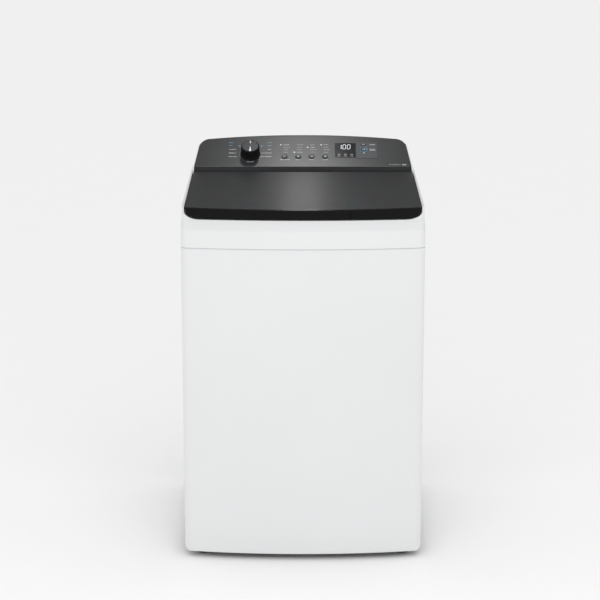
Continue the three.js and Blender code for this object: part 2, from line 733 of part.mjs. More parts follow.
/** Duct from the valve to the rear edge of the wash opening. */
function waterSpout() {
  const path = new THREE.CatmullRomCurve3([
    new THREE.Vector3(-200, 223.5, VALVE_Z - 6),
    new THREE.Vector3(-200, 205, VALVE_Z - 7),
    new THREE.Vector3(-160, 120, VALVE_Z - 20),
    new THREE.Vector3(-118, 60, VALVE_Z - 30),
  ]);
  return tube(path, 9, 8, 8);
}

/** Air-pressure level sensor under the console. */
function levelSensor() {
  return post(150, 200, 862, 878, 26).add(post(150, 200, 850, 863, 4, 12));
}

/** Drain pump with an upright inlet and an outlet towards the back. */
function drainPump() {
  let pump = post(PUMP_X, PUMP_Y, 30.3, 72, 40);
  pump = pump.add(block(PUMP_X - 28, PUMP_X + 28, PUMP_Y - 92, PUMP_Y - 20, 30.3, 66));
  pump = pump.add(barY(PUMP_X, 50, PUMP_Y + 30, PUMP_Y + 52, 11, 16));
  return pump.add(post(PUMP_X, PUMP_Y, 71, 112, 17));
}

/** Drain hose from the pump up to the port in the back sheet. */
function drainHose() {
  const path = new THREE.CatmullRomCurve3([
    new THREE.Vector3(PUMP_X, PUMP_Y + 52.4, 50),
    new THREE.Vector3(PUMP_X, PUMP_Y + 85, 50),
    new THREE.Vector3(PUMP_X - 25, 190, 68),
    new THREE.Vector3(-198, 240, 125),
    new THREE.Vector3(-200, 268, 140),
    new THREE.Vector3(-200, 285.6, 140),
  ]);
  return tube(path, 11, 18, 8);
}

/** Flanged spigot that carries the drain through the back sheet. */
function drainPort() {
  return turned([
    [9, 286], [14, 286], [14, 303], [20, 303], [20, 306], [14, 306], [14, PORT_Y], [9, PORT_Y],
  ], 14);
}

/** Ribbed gland for the supply cord in the back sheet. */
function cableGland() {
  return turned([
    [3.5, 292], [9, 292], [9, 302], [13, 302], [13, 305], [8, 305], [6, 316], [3.5, 316],
  ], 14);
}

/** Turns a piece made about Z so that its axis lies along Y at a place on the back. */
function placeOnBack(mesh, x, z) {
  mesh.rotation.x = -Math.PI / 2;
  mesh.position.set(x, 0, z);
}

// ---------------------------------------------------------------- tub and basket

/** Outer tub with a bearing seat, four hanger lugs and a drain outlet. */
function outerTub() {
  let tub = turned([
    [40, TUB_BOTTOM], [252, TUB_BOTTOM], [TUB_RADIUS, TUB_BOTTOM + 16], [TUB_RADIUS, TUB_TOP],
    [TUB_RADIUS - 3, TUB_TOP], [TUB_RADIUS - 3, TUB_BOTTOM + 17], [251, TUB_BOTTOM + 4],
    [40, TUB_BOTTOM + 4],
  ], 28, 0, TUB_Y);
  for (const [, x, y] of rodCorners) {
    const reach = Math.hypot(x, y - TUB_Y);
    const turn = Math.atan2(y - TUB_Y, x);
    const arm = new THREE.BoxGeometry(reach + 20 - 265, 44, LUG_TOP - LUG_BOTTOM);
    arm.translate((reach + 20 + 265.5) / 2, 0, (LUG_BOTTOM + LUG_TOP) / 2).rotateZ(turn);
    arm.translate(0, TUB_Y, 0);
    tub = tub.add(solid(arm)).subtract(post(x, y, LUG_BOTTOM - 5, LUG_TOP + 5, 8, 12));
  }
  tub = tub.add(post(PUMP_X, PUMP_Y, TUB_BOTTOM - 15, TUB_BOTTOM + 2, 17));
  return tub.subtract(post(PUMP_X, PUMP_Y, TUB_BOTTOM - 20, TUB_BOTTOM + 10, 13));
}

/** Ring that closes the top of the outer tub down to the basket's mouth. */
function tubCover() {
  const seat = TUB_TOP + GAP;
  const lip = TUB_RADIUS + 0.4;
  return turned([
    [226, seat], [lip, seat], [lip, seat - 12], [lip + 3, seat - 12], [lip + 3, seat + 3],
    [229, seat + 3], [229, seat + 13], [226, seat + 13],
  ], 28, 0, TUB_Y);
}

/** Bearing housing under the tub, around the spin tube. */
function bearingHousing() {
  return turned([
    [20.6, 128], [45, 128], [45, 150], [60, 170], [108, 182], [108, TUB_BOTTOM - GAP],
    [39.6, TUB_BOTTOM - GAP], [39.6, 196], [20.6, 196],
  ], 20, 0, TUB_Y);
}

/** Perforated wash basket. */
function washBasket() {
  let basket = turned([
    [60, BASKET_BOTTOM], [233, BASKET_BOTTOM], [BASKET_RADIUS, BASKET_BOTTOM + 12],
    [BASKET_RADIUS, BASKET_TOP], [BASKET_RADIUS - 1.8, BASKET_TOP],
    [BASKET_RADIUS - 1.8, BASKET_BOTTOM + 13], [232, BASKET_BOTTOM + 2], [60, BASKET_BOTTOM + 2],
  ], 28, 0, TUB_Y);
  const drill = (angle, z) => {
    const hole = new THREE.CylinderGeometry(6, 6, 20, 6);
    hole.rotateZ(Math.PI / 2).translate(BASKET_RADIUS, 0, z).rotateZ(angle).translate(0, TUB_Y, 0);
    return solid(hole);
  };
  for (let row = 0; row < 3; row += 1) {
    for (let i = 0; i < 6; i += 1) {
      const angle = (i + 0.5 + (row % 2) / 2) * Math.PI / 3;
      basket = basket.subtract(drill(angle, 320 + row * 140));
    }
  }
  return basket;
}

/** Liquid-filled ring on the basket's mouth. */
function balanceRing() {
  return turned([
    [218, BASKET_TOP + GAP], [248, BASKET_TOP + GAP], [250, BASKET_TOP + 4], [250, 750],
    [246, 754], [222, 754], [216, 746], [216, BASKET_TOP + 8],
  ], 28, 0, TUB_Y);
}

/** Flange and spin tube that carry the basket. */
function basketHub() {
  return turned([
    [14, 122], [20, 122], [20, 198], [75, 198], [75, BASKET_BOTTOM - GAP],
    [59.6, BASKET_BOTTOM - GAP], [59.6, 211], [14, 211],
  ], 20, 0, TUB_Y);
}

/** Pocket lint filter on the basket wall. */
function lintFilter() {
  const outline = roundedRect(-32, 32, 380, 500, 10);
  const body = prismY(outline, 209, 226);
  return body.subtract(prismY(roundedRect(-26, 26, 392, 488, 6), 213, 240));
}

/** Pulsator disc with six swept vanes and a domed cap. */
function pulsator() {
  let disc = turned([
    [0, 214.5], [150, 214.5], [168, 220], [168, 224], [60, 228], [36, 246], [0, 252],
  ], 24, 0, TUB_Y);
  for (let i = 0; i < 6; i += 1) {
    const vane = new THREE.CylinderGeometry(6, 13, 24, 6);
    vane.scale(6, 1, 1).rotateX(Math.PI / 2).translate(96, 0, 232).rotateZ(i * Math.PI / 3);
    disc = disc.add(solid(vane.translate(0, TUB_Y, 0)));
  }
  return disc;
}

// ---------------------------------------------------------------- drive

/** Pulley with a belt groove and a bore. */
function pulley(radius, bore, x, y) {
  const groove = radius - 8;
  return turned([
    [bore, 80], [radius, 80], [radius, BELT_BOTTOM - 0.4], [groove, BELT_BOTTOM - 0.4],
    [groove, BELT_TOP + 0.4], [radius, BELT_TOP + 0.4], [radius, 96], [bore, 96],
  ], 24, x, y);
}

/** Outline of a belt around two pulleys at a given distance from their centres. */
function beltLoop(margin) {
  const span = new THREE.Vector2(MOTOR_X, MOTOR_Y - TUB_Y);
  const large = PULLEY_RADIUS - 8 + margin;
  const small = MOTOR_PULLEY_RADIUS - 8 + margin;
  const heading = span.angle();
  const lean = Math.acos((large - small) / span.length());
  return [
    ...arc(0, TUB_Y, large, large, heading + lean, heading + 2 * Math.PI - lean, 22),
    ...arc(MOTOR_X, MOTOR_Y, small, small, heading - lean, heading + lean, 9),
  ];
}

/** Flat drive belt. */
function driveBelt() {
  const outside = prismZ(beltLoop(0.6 + BELT_DEPTH), BELT_BOTTOM, BELT_TOP);
  return outside.subtract(prismZ(beltLoop(0.6), 70, 110));
}

/** Motor hung under the tub, bored for its shaft. */
function driveMotor() {
  return turned([
    [0, 130], [8, 130], [8, 100], [30, 100], [32, 106], [60, 108], [60, 172], [64, 178],
    [64, TUB_BOTTOM - GAP], [0, TUB_BOTTOM - GAP],
  ], 16, MOTOR_X, MOTOR_Y);
}

/** Motor pulley with its shaft in one piece. */
function motorPulley() {
  const shaft = post(MOTOR_X, MOTOR_Y, 78, 126, 6.5, 12);
  return pulley(MOTOR_PULLEY_RADIUS, 5, MOTOR_X, MOTOR_Y).add(shaft);
}

// ---------------------------------------------------------------- suspension

/** Hanger rod with a ball cap above its bracket and a cup under its spring. */
function suspensionRod() {
  return turned([
    [0, 254], [20, 254], [22, 258], [22, 262], [4, 262], [4, 754.6], [13, 754.6], [13, 762],
    [7, 768], [0, 769],
  ], 10);
}

/** Coil spring between the rod's cup and the tub's lug. */
class CoilCurve extends THREE.Curve {
  getPoint(t, target = new THREE.Vector3()) {
    const turns = 4;
    const angle = t * turns * Math.PI * 2;
    const rise = THREE.MathUtils.lerp(265.4, LUG_BOTTOM - 3.4, t);
    return target.set(15 * Math.cos(angle), 15 * Math.sin(angle), rise);
  }
}

/** Convoluted sleeve between the tub's outlet and the pump. */
function sumpBellows() {
  const profile = [];
  const [bottom, top, folds] = [112.4, TUB_BOTTOM - 15.4, 5];
  for (let i = 0; i <= folds * 2; i += 1) {
    profile.push([i % 2 ? 22 : 17, bottom + (top - bottom) * i / (folds * 2)]);
  }
  const inside = profile.map(([radius, z]) => [radius - 3, z]).reverse();
  return turned([...profile, ...inside], 12, PUMP_X, PUMP_Y);
}

// ---------------------------------------------------------------- assembly

const washer = new THREE.Group();

const cabinet = new THREE.Group();
washer.add(cabinet);
addPart(cabinet, 'cabinet_shell', cabinetShell(), whitePaint);
addPart(cabinet, 'rear_panel', rearPanel(), zincSteel);
addPart(cabinet, 'rear_access_cover', rearAccessCover(), zincSteel);
addPart(cabinet, 'base_frame', baseFrame(), darkSteel);
addPart(cabinet, 'top_deck', topDeck(), whitePlastic);
addPart(cabinet, 'hinge_pin_left', hingePin(-1), zincSteel);
addPart(cabinet, 'hinge_pin_right', hingePin(1), zincSteel);
addPart(cabinet, 'lid_lock', lidLock(), blackPlastic);
addPart(cabinet, 'inlet_valve', inletValve(), bluePlastic);
addPart(cabinet, 'water_spout', waterSpout(), greyPlastic);
addPart(cabinet, 'level_sensor', levelSensor(), greyPlastic);
addPart(cabinet, 'drain_pump', drainPump(), blackPlastic);
addPart(cabinet, 'drain_hose', drainHose(), rubber);
placeOnBack(addPart(cabinet, 'drain_port', drainPort(), blackPlastic), -200, 140);
placeOnBack(addPart(cabinet, 'cable_gland', cableGland(), rubber), 230, 720);

for (const [place, x, y] of rodCorners) {
  const rod = addPart(cabinet, `suspension_rod_${place}`, suspensionRod(), zincSteel);
  rod.position.set(x, y, 0);
  const coil = tube(new CoilCurve(), 2.4, 28, 4);
  const spring = addPart(cabinet, `suspension_spring_${place}`, coil, darkSteel);
  spring.position.set(x, y, 0);
}

for (const [place, x, y] of rodCorners) {
  const foot = addPart(washer, `leveling_foot_${place}`, levelingFoot(), rubber);
  foot.position.set(Math.sign(x) * FOOT_X, Math.sign(y) * FOOT_Y, 0);
}

const tubGroup = new THREE.Group();
washer.add(tubGroup);
addPart(tubGroup, 'outer_tub', outerTub(), greyPlastic);
addPart(tubGroup, 'tub_cover', tubCover(), greyPlastic);
addPart(tubGroup, 'bearing_housing', bearingHousing(), castAlloy);
addPart(tubGroup, 'drive_motor', driveMotor(), castAlloy);
addPart(tubGroup, 'drive_belt', driveBelt(), rubber);
addPart(tubGroup, 'motor_pulley', motorPulley(), zincSteel);
addPart(tubGroup, 'wash_basket', washBasket(), stainless);
addPart(tubGroup, 'balance_ring', balanceRing(), greyPlastic);
addPart(tubGroup, 'basket_hub', basketHub(), castAlloy);
addPart(tubGroup, 'lint_filter', lintFilter(), greyPlastic);
addPart(tubGroup, 'pulsator', pulsator(), greyPlastic);
addPart(tubGroup, 'drive_shaft', post(0, TUB_Y, 76, 214, SHAFT_RADIUS), zincSteel);
addPart(tubGroup, 'drive_pulley', pulley(PULLEY_RADIUS, SHAFT_RADIUS + GAP, 0, TUB_Y), castAlloy);
addPart(tubGroup, 'sump_bellows', sumpBellows(), rubber);

const lid = new THREE.Group();
washer.add(lid);
addPart(lid, 'lid_frame', lidFrame(), blackPlastic);
addPart(lid, 'lid_glass', lidGlass(), tintedGlass);
addPart(lid, 'lid_handle', lidHandle(), blackPlastic);

addPart(washer, 'detergent_drawer', dispenserDrawer(-1), greyPlastic);
addPart(washer, 'softener_drawer', dispenserDrawer(1), greyPlastic);

addPart(washer, 'control_fascia', controlFascia(), fasciaGloss);
const consoleFace = new THREE.Group();
consoleFace.position.set(0, FACE_Y, FACE_Z);
consoleFace.rotation.x = FACE_TILT;
washer.add(consoleFace);
addPart(consoleFace, 'display_window', displayWindow(), displayBlack);
addPart(consoleFace, 'start_panel', startPanel(), panelGrey);
addPart(consoleFace, 'control_board', controlBoard(), boardGreen);
const switchBody = addPart(consoleFace, 'selector_switch', selectorSwitch(), blackPlastic);
switchBody.position.set(KNOB.x, KNOB.v, 0);
const knob = addPart(consoleFace, 'selector_knob', selectorKnob(), knobBlack);
knob.position.set(KNOB.x, KNOB.v, 0);
for (const { name, x, v, radius } of buttons) {
  const button = addPart(consoleFace, name, pushButton(radius), buttonSilver);
  button.position.set(x, v, 0);
}

export default washer;
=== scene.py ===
"""Top load washing machine: the visible surfaces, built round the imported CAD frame.

Every size is in metres. Places come from the boxes of the CAD nodes, and the shape of
the bowed plan, the lid and the console comes from the named values below.
"""
import math
import random

import bmesh
import bpy
from mathutils import Matrix, Vector


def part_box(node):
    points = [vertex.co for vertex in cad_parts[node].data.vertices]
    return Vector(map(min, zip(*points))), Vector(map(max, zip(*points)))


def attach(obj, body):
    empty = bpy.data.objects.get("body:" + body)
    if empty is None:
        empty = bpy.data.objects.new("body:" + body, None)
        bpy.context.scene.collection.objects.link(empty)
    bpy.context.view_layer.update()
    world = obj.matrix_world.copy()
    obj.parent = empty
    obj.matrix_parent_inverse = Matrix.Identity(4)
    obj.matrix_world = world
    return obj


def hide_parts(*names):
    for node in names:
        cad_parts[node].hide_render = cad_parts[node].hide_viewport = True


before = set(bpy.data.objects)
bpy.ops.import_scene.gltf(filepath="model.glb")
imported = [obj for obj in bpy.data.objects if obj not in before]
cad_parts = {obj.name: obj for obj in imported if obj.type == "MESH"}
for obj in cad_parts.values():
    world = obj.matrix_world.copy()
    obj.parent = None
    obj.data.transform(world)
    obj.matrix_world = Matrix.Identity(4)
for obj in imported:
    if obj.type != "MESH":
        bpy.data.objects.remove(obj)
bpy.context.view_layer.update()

# ---------------------------------------------------------------- sizes from the frame

SHELL_LOW, SHELL_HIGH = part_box("cabinet_shell")
LIP_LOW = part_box("lid_handle")[0]

HALF_WIDTH = SHELL_HIGH.x
FRONT = SHELL_LOW.y
REAR = SHELL_HIGH.y
BOTTOM = SHELL_LOW.z
SEAM = SHELL_HIGH.z
DECK_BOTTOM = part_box("top_deck")[0].z
SHEET = 0.0018
# Half of the cutting solids' width, past the sides of the machine.
WIDE = 0.32
CORNERS = ("front_left", "front_right", "rear_left", "rear_right")

BOW_RADIUS = 1.716
BOW_CENTRE = FRONT + BOW_RADIUS
CORNER = 0.020
BOTTOM_CORNER = 0.015

RIDGE = DECK_BOTTOM + 0.045
APRON_TOP = DECK_BOTTOM + 0.069
APRON_FRONT = FRONT + 0.0216
RAIL_FRONT = DECK_BOTTOM + 0.095
CONSOLE_SIDE = DECK_BOTTOM + 0.142
CONSOLE_TAPER = 0.8
CONSOLE_HALF = 0.2926
DECK_WALL = 0.0035

LID_HALF = 0.2904
LID_FRONT = LIP_LOW.y
LID_FRONT_TOP = 0.891
LID_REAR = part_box("lid_glass")[1].y
LID_SLOPE = math.tan(math.radians(5.2))
LID_THICKNESS = 0.014
LIP_BOTTOM = LIP_LOW.z
LIP_WALL = 0.004
LIP_CORNER = (0.038, 0.019)
GLASS_THICKNESS = 0.004

FACE_TILT = math.radians(34)
FACE_FOOT = Vector((0, 0.132, 0.937))
FACE_LENGTH = 0.124
FASCIA_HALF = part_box("control_fascia")[1].x
FASCIA_THICKNESS = 0.004
CROWN_RADIUS = 2.976
CROWN_TOP = 1.0095
CROWN_CORNER = 0.025
CREST_Y = 0.238
CREST_FALL = math.radians(14)
TUB_Y = (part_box("outer_tub")[0].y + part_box("outer_tub")[1].y) / 2

KNOB_X, KNOB_V = -0.1406, 0.051
KNOB_RADIUS, KNOB_HEIGHT = 0.0245, 0.030
OPTION_XS = (-0.0488, -0.0121, 0.0237, 0.0598)
OPTION_V, OPTION_RADIUS = 0.041, 0.0079
POWER = (0.1636, 0.0886, 0.0065)
START = (0.1644, 0.069, 0.0108)
# Thickness of printed marks, height of printed letters and rise of the marks on keys.
INK = 0.00008
LETTER = 0.0023
MARK = 0.0002

FACE = Matrix.Translation(FACE_FOOT) @ Matrix.Rotation(FACE_TILT, 4, "X")
random.seed(7)

# ---------------------------------------------------------------- materials


def new_material(name, color, roughness, metallic=0.0, **sockets):
    """A Principled material and its node tree, with constant sockets set directly."""
    material = bpy.data.materials.new(name)
    material.use_nodes = True
    shader = material.node_tree.nodes["Principled BSDF"]
    shader.inputs["Base Color"].default_value = (*color, 1)
    shader.inputs["Roughness"].default_value = roughness
    shader.inputs["Metallic"].default_value = metallic
    for label, value in sockets.items():
        shader.inputs[label.replace("_", " ")].default_value = value
    return material, material.node_tree, shader


def object_noise(tree, scale, detail=3.0, stretch=(1, 1, 1)):
    """Noise fixed to the object, stretched along its axes."""
    place = tree.nodes.new("ShaderNodeTexCoord")
    mapping = tree.nodes.new("ShaderNodeMapping")
    mapping.inputs["Scale"].default_value = stretch
    noise = tree.nodes.new("ShaderNodeTexNoise")
    noise.inputs["Scale"].default_value = scale
    noise.inputs["Detail"].default_value = detail
    tree.links.new(place.outputs["Object"], mapping.inputs["Vector"])
    tree.links.new(mapping.outputs["Vector"], noise.inputs["Vector"])
    return noise


def ramp_to(tree, noise, socket, low, high):
    """Feeds a socket with the noise spread between two numbers."""
    spread = tree.nodes.new("ShaderNodeMapRange")
    spread.inputs["From Min"].default_value = 0.3
    spread.inputs["From Max"].default_value = 0.7
    spread.inputs["To Min"].default_value = low
    spread.inputs["To Max"].default_value = high
    tree.links.new(noise.outputs["Fac"], spread.inputs["Value"])
    tree.links.new(spread.outputs["Result"], socket)


def vary_color(tree, shader, noise, dark, light):
    """Mottles the base colour between two close tones."""
    ramp = tree.nodes.new("ShaderNodeValToRGB")
    ramp.color_ramp.elements[0].position = 0.3
    ramp.color_ramp.elements[1].position = 0.7
    ramp.color_ramp.elements[0].color = (*dark, 1)
    ramp.color_ramp.elements[1].color = (*light, 1)
    tree.links.new(noise.outputs["Fac"], ramp.inputs["Fac"])
    tree.links.new(ramp.outputs["Color"], shader.inputs["Base Color"])


def bump_from(tree, shader, noise, strength, distance):
    """Adds fine relief from a noise."""
    bump = tree.nodes.new("ShaderNodeBump")
    bump.inputs["Strength"].default_value = strength
    bump.inputs["Distance"].default_value = distance
    tree.links.new(noise.outputs["Fac"], bump.inputs["Height"])
    tree.links.new(bump.outputs["Normal"], shader.inputs["Normal"])


def surface(name, color, roughness, metallic=0.0, mottle=0.05, patch=6, grain=900,
            relief=0.05, depth=0.0002, spread=0.05, stretch=(1, 1, 1), **sockets):
    """A finish with mottled colour, uneven gloss and fine relief."""
    material, tree, shader = new_material(name, color, roughness, metallic, **sockets)
    broad = object_noise(tree, patch)
    dark = tuple(c * (1 - mottle) for c in color)
    light = tuple(min(c * (1 + mottle), 1) for c in color)
    vary_color(tree, shader, broad, dark, light)
    fine = object_noise(tree, grain, 4, stretch)
    ramp_to(tree, fine, shader.inputs["Roughness"], roughness - spread, roughness + spread)
    bump_from(tree, shader, fine, relief, depth)
    return material


def glowing(name, color, strength):
    """A small lamp, ring or lit digit."""
    material, tree, shader = new_material(name, color, 0.4)
    shader.inputs["Emission Color"].default_value = (*color, 1)
    shader.inputs["Emission Strength"].default_value = strength
    noise = object_noise(tree, 400)
    ramp_to(tree, noise, shader.inputs["Roughness"], 0.35, 0.5)
    return material


ENAMEL = surface("enamelled_steel", (0.765, 0.77, 0.775), 0.32, mottle=0.008, patch=3,
                 grain=420, relief=0.04, depth=0.0004, Coat_Weight=0.25, Coat_Roughness=0.12)
WHITE_PLASTIC = surface("white_moulding", (0.775, 0.78, 0.785), 0.36, mottle=0.008, patch=4,
                        grain=1400, relief=0.05, Coat_Weight=0.1, Coat_Roughness=0.2)
LID_GLASS = surface("smoked_glass_panel", (0.041, 0.0425, 0.045), 0.42, mottle=0.03, patch=5,
                    grain=500, relief=0.015, spread=0.03, Coat_Weight=0.25, Coat_Roughness=0.36)
BLACK_GLOSS = surface("black_gloss_plastic", (0.0035, 0.0036, 0.004), 0.28, mottle=0.1,
                      grain=1200, relief=0.04, Specular_IOR_Level=0.14)
FASCIA = surface("dark_console_film", (0.034, 0.0352, 0.0375), 0.36, mottle=0.04, patch=7,
                 grain=1500, relief=0.05, Coat_Weight=0.2, Coat_Roughness=0.3)
PANEL_GREY = surface("grey_key_panel", (0.066, 0.068, 0.071), 0.4, mottle=0.04, grain=1500,
                     relief=0.06)
DISPLAY = surface("display_glass", (0.007, 0.0075, 0.0085), 0.2, mottle=0.05, relief=0.01,
                  Specular_IOR_Level=0.3)
KNOB_SIDE = surface("knob_black", (0.010, 0.0105, 0.0115), 0.3, mottle=0.08, grain=1500,
                    Specular_IOR_Level=0.3)
KNOB_FACE = surface("knob_face", (0.040, 0.041, 0.044), 0.34, 0.35, mottle=0.05, grain=700,
                    stretch=(1, 12, 1))
SILVER = surface("satin_silver", (0.55, 0.56, 0.58), 0.3, 0.75, mottle=0.04, grain=1200)
KEY_RING = surface("key_ring_grey", (0.13, 0.133, 0.14), 0.34, 0.4, mottle=0.04, grain=1200)
KEY_CAP = surface("key_cap_grey", (0.05, 0.052, 0.055), 0.34, 0.3, mottle=0.05, grain=1300)
STEEL = surface("brushed_stainless", (0.66, 0.67, 0.68), 0.27, 0.62, mottle=0.06, patch=10,
                grain=160, relief=0.08, spread=0.08, stretch=(1, 1, 14))
ZINC = surface("galvanised_sheet", (0.55, 0.57, 0.585), 0.42, 0.5, mottle=0.16, patch=38,
               grain=300, relief=0.06, spread=0.1)
DARK_STEEL = surface("dark_coated_steel", (0.12, 0.125, 0.13), 0.5, 0.5, mottle=0.1, grain=500)
ALLOY = surface("cast_alloy", (0.42, 0.43, 0.44), 0.55, 0.5, mottle=0.12, patch=20, grain=350,
                relief=0.3, depth=0.0005)
GREY_PLASTIC = surface("grey_moulding", (0.56, 0.58, 0.60), 0.42, mottle=0.03, grain=900,
                       relief=0.08)
BLUE_PLASTIC = surface("blue_grey_moulding", (0.33, 0.45, 0.54), 0.4, mottle=0.05, grain=900)
RUBBER = surface("black_rubber", (0.022, 0.022, 0.023), 0.75, mottle=0.15, grain=700,
                 relief=0.2, depth=0.0004)
BOARD = surface("circuit_board", (0.03, 0.13, 0.07), 0.5, mottle=0.2, patch=120)
PRINT = surface("white_print", (0.62, 0.63, 0.64), 0.5, mottle=0.03)
# Slightly lighter than the console film: painted highlight for the rounded lower rim of the
# console.
RIM_PAINTED_HIGHLIGHT = surface("console_rim_painted_highlight", (0.085, 0.087, 0.091), 0.36, mottle=0.03)
PRINT_DIM = surface("grey_print", (0.40, 0.405, 0.41), 0.5, mottle=0.03)
BLUE_PRINT = surface("blue_print", (0.16, 0.42, 0.62), 0.5, mottle=0.05)
WINDOW_EDGE = surface("window_edge", (0.05, 0.052, 0.055), 0.42, mottle=0.05)
TEAL_MARK = surface("teal_mark", (0.041, 0.054, 0.058), 0.42, mottle=0.05)
LED_WHITE = glowing("lamp_white", (0.78, 0.84, 0.88), 0.5)
LED_BLUE = glowing("lamp_blue", (0.10, 0.29, 0.43), 0.16)

# ---------------------------------------------------------------- mesh tools


def make_object(name, verts, faces, material):
    """A mesh object with smooth shading and outward faces."""
    mesh = bpy.data.meshes.new(name)
    mesh.from_pydata([tuple(v) for v in verts], [], faces)
    work = bmesh.new()
    work.from_mesh(mesh)
    bmesh.ops.remove_doubles(work, verts=work.verts, dist=2e-6)
    bmesh.ops.dissolve_degenerate(work, edges=work.edges, dist=2e-6)
    bmesh.ops.recalc_face_normals(work, faces=work.faces)
    work.to_mesh(mesh)
    work.free()
    obj = bpy.data.objects.new(name, mesh)
    bpy.context.scene.collection.objects.link(obj)
    if material:
        mesh.materials.append(material)
    return obj


def smooth(obj, degrees=32):
    """Smooth shading with sharp edges over an angle."""
    obj.data.shade_smooth()
    obj.data.set_sharp_from_angle(angle=math.radians(degrees))
    return obj


def freeze(obj):
    """Applies the modifiers of an object to its mesh."""
    graph = bpy.context.evaluated_depsgraph_get()
    mesh = bpy.data.meshes.new_from_object(obj.evaluated_get(graph))
    obj.modifiers.clear()
    old = obj.data
    obj.data = mesh
    mesh.name = obj.name
    bpy.data.meshes.remove(old)
    return obj


def combine(obj, other, operation):
    """Cuts, joins or intersects an object with another, which is used up."""
    modifier = obj.modifiers.new("combine", "BOOLEAN")
    modifier.operation = operation
    modifier.solver = "EXACT"
    modifier.object = other
    bpy.context.view_layer.update()
    freeze(obj)
    bpy.data.objects.remove(other)
    return obj


def cut(obj, other):
    """Takes another solid out of an object."""
    return combine(obj, other, "DIFFERENCE")


def common(obj, other):
    """Keeps what an object shares with another solid."""
    return combine(obj, other, "INTERSECT")


def unite(obj, other):
    """Adds another solid to an object."""
    return combine(obj, other, "UNION")


def round_edges(obj, width=0.0008, segments=2, degrees=35):
    """Bevels the sharp edges and weights the normals."""
    bevel = obj.modifiers.new("edges", "BEVEL")
    bevel.width = width
    bevel.segments = segments
    bevel.limit_method = "ANGLE"
    bevel.angle_limit = math.radians(degrees)
    bevel.use_clamp_overlap = True
    bevel.harden_normals = False
    weighted = obj.modifiers.new("normals", "WEIGHTED_NORMAL")
    weighted.keep_sharp = True
    return smooth(obj)


def arc(cx, cy, rx, ry, start, stop, steps):
    """Points of a round stretch, both ends included."""
    angles = [start + (stop - start) * i / steps for i in range(steps + 1)]
    return [(cx + rx * math.cos(a), cy + ry * math.sin(a)) for a in angles]


def bowed(half, apex, corner, far, bow_radius=None, bow_steps=48, steps=9):
    """The plan of the machine: three straight sides and a bowed one towards -Y."""
    radius = bow_radius or BOW_CENTRE - apex
    centre = apex + radius
    cx = half - corner
    cy = centre - math.sqrt((radius - corner) ** 2 - cx ** 2)
    lean = math.asin(cx / (radius - corner))
    quarter = math.pi / 2
    rear = 0.004
    return (
        arc(cx, cy, corner, corner, lean - quarter, 0, steps)
        + arc(half - rear, far - rear, rear, rear, 0, quarter, 4)
        + arc(rear - half, far - rear, rear, rear, quarter, math.pi, 4)
        + arc(-cx, cy, corner, corner, math.pi, 3 * quarter - lean, steps)
        + arc(0, centre, radius, radius, -quarter - lean, lean - quarter, bow_steps)[1:-1]
    )


def loft(name, sections, material=None):
    """A closed solid through outlines at heights: [(outline, z), ...]."""
    count = len(sections[0][0])
    verts = [(x, y, z) for outline, z in sections for x, y in outline]
    faces = []
    for level in range(len(sections) - 1):
        base = level * count
        for i in range(count):
            j = (i + 1) % count
            faces.append((base + i, base + j, base + j + count, base + i + count))
    faces.append(tuple(reversed(range(count))))
    faces.append(tuple(range((len(sections) - 1) * count, len(sections) * count)))
    return make_object(name, verts, faces, material)


def walls_and_caps(count):
    """Faces of a solid between two outlines of the same count of points."""
    walls = [(i, (i + 1) % count, (i + 1) % count + count, i + count) for i in range(count)]
    return walls + [tuple(reversed(range(count))), tuple(range(count, 2 * count))]


def prism(name, outline, low, high, axis="Z", material=None):
    """An outline extruded along an axis: XY along Z, YZ along X or XZ along Y."""
    place = {
        "Z": lambda u, v, w: (u, v, w),
        "X": lambda u, v, w: (w, u, v),
        "Y": lambda u, v, w: (u, w, v),
    }[axis]
    count = len(outline)
    verts = [place(u, v, low) for u, v in outline] + [place(u, v, high) for u, v in outline]
    return make_object(name, verts, walls_and_caps(count), material)


def axis_of(node):
    """Middle of a CAD node's box, seen from above."""
    low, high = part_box(node)
    return (low.x + high.x) / 2, (low.y + high.y) / 2


def block(name, low, high, material=None):
    """An axis-aligned box, used for cuts and small parts."""
    outline = [(low[0], low[1]), (high[0], low[1]), (high[0], high[1]), (low[0], high[1])]
    return prism(name, outline, low[2], high[2], "Z", material)


def turned(name, profile, steps=48, material=None, centre=(0, 0)):
    """A closed [radius, height] profile turned about an upright axis."""
    count = len(profile)
    verts = []
    for i in range(steps):
        angle = 2 * math.pi * i / steps
        for radius, height in profile:
            x = centre[0] + radius * math.cos(angle)
            verts.append((x, centre[1] + radius * math.sin(angle), height))
    faces = []
    for i in range(steps):
        for j in range(count):
            k = (j + 1) % count
            a, b = i * count, (i + 1) % steps * count
            faces.append((a + j, b + j, b + k, a + k))
    return make_object(name, verts, faces, material)


def on_face(obj, x=0.0, v=0.0, w=0.0):
    """Moves a piece made in face coordinates onto the console."""
    obj.data.transform(FACE @ Matrix.Translation((x, v, w)))
    return obj


def add_piece(obj, body, slot, *nodes):
    """Puts a finished piece under its body's empty and hides the nodes it stands for; the slot
    argument is not used.
    """
    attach(obj, body)
    if nodes:
        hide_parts(*nodes)
    return obj


def join(name, objects):
    """Joins objects into one piece; each keeps its materials."""
    mesh = bpy.data.meshes.new(name)
    work = bmesh.new()
    materials = []
    for obj in objects:
        start = len(work.faces)
        work.from_mesh(obj.data)
        work.faces.ensure_lookup_table()
        lookup = []
        for material in obj.data.materials:
            if material not in materials:
                materials.append(material)
            lookup.append(materials.index(material))
        for face in work.faces[start:]:
            face.material_index = lookup[face.material_index] if lookup else 0
    work.to_mesh(mesh)
    work.free()
    for material in materials:
        mesh.materials.append(material)
    for obj in objects:
        bpy.data.objects.remove(obj)
    joined = bpy.data.objects.new(name, mesh)
    bpy.context.scene.collection.objects.link(joined)
    return joined


# ---------------------------------------------------------------- cabinet


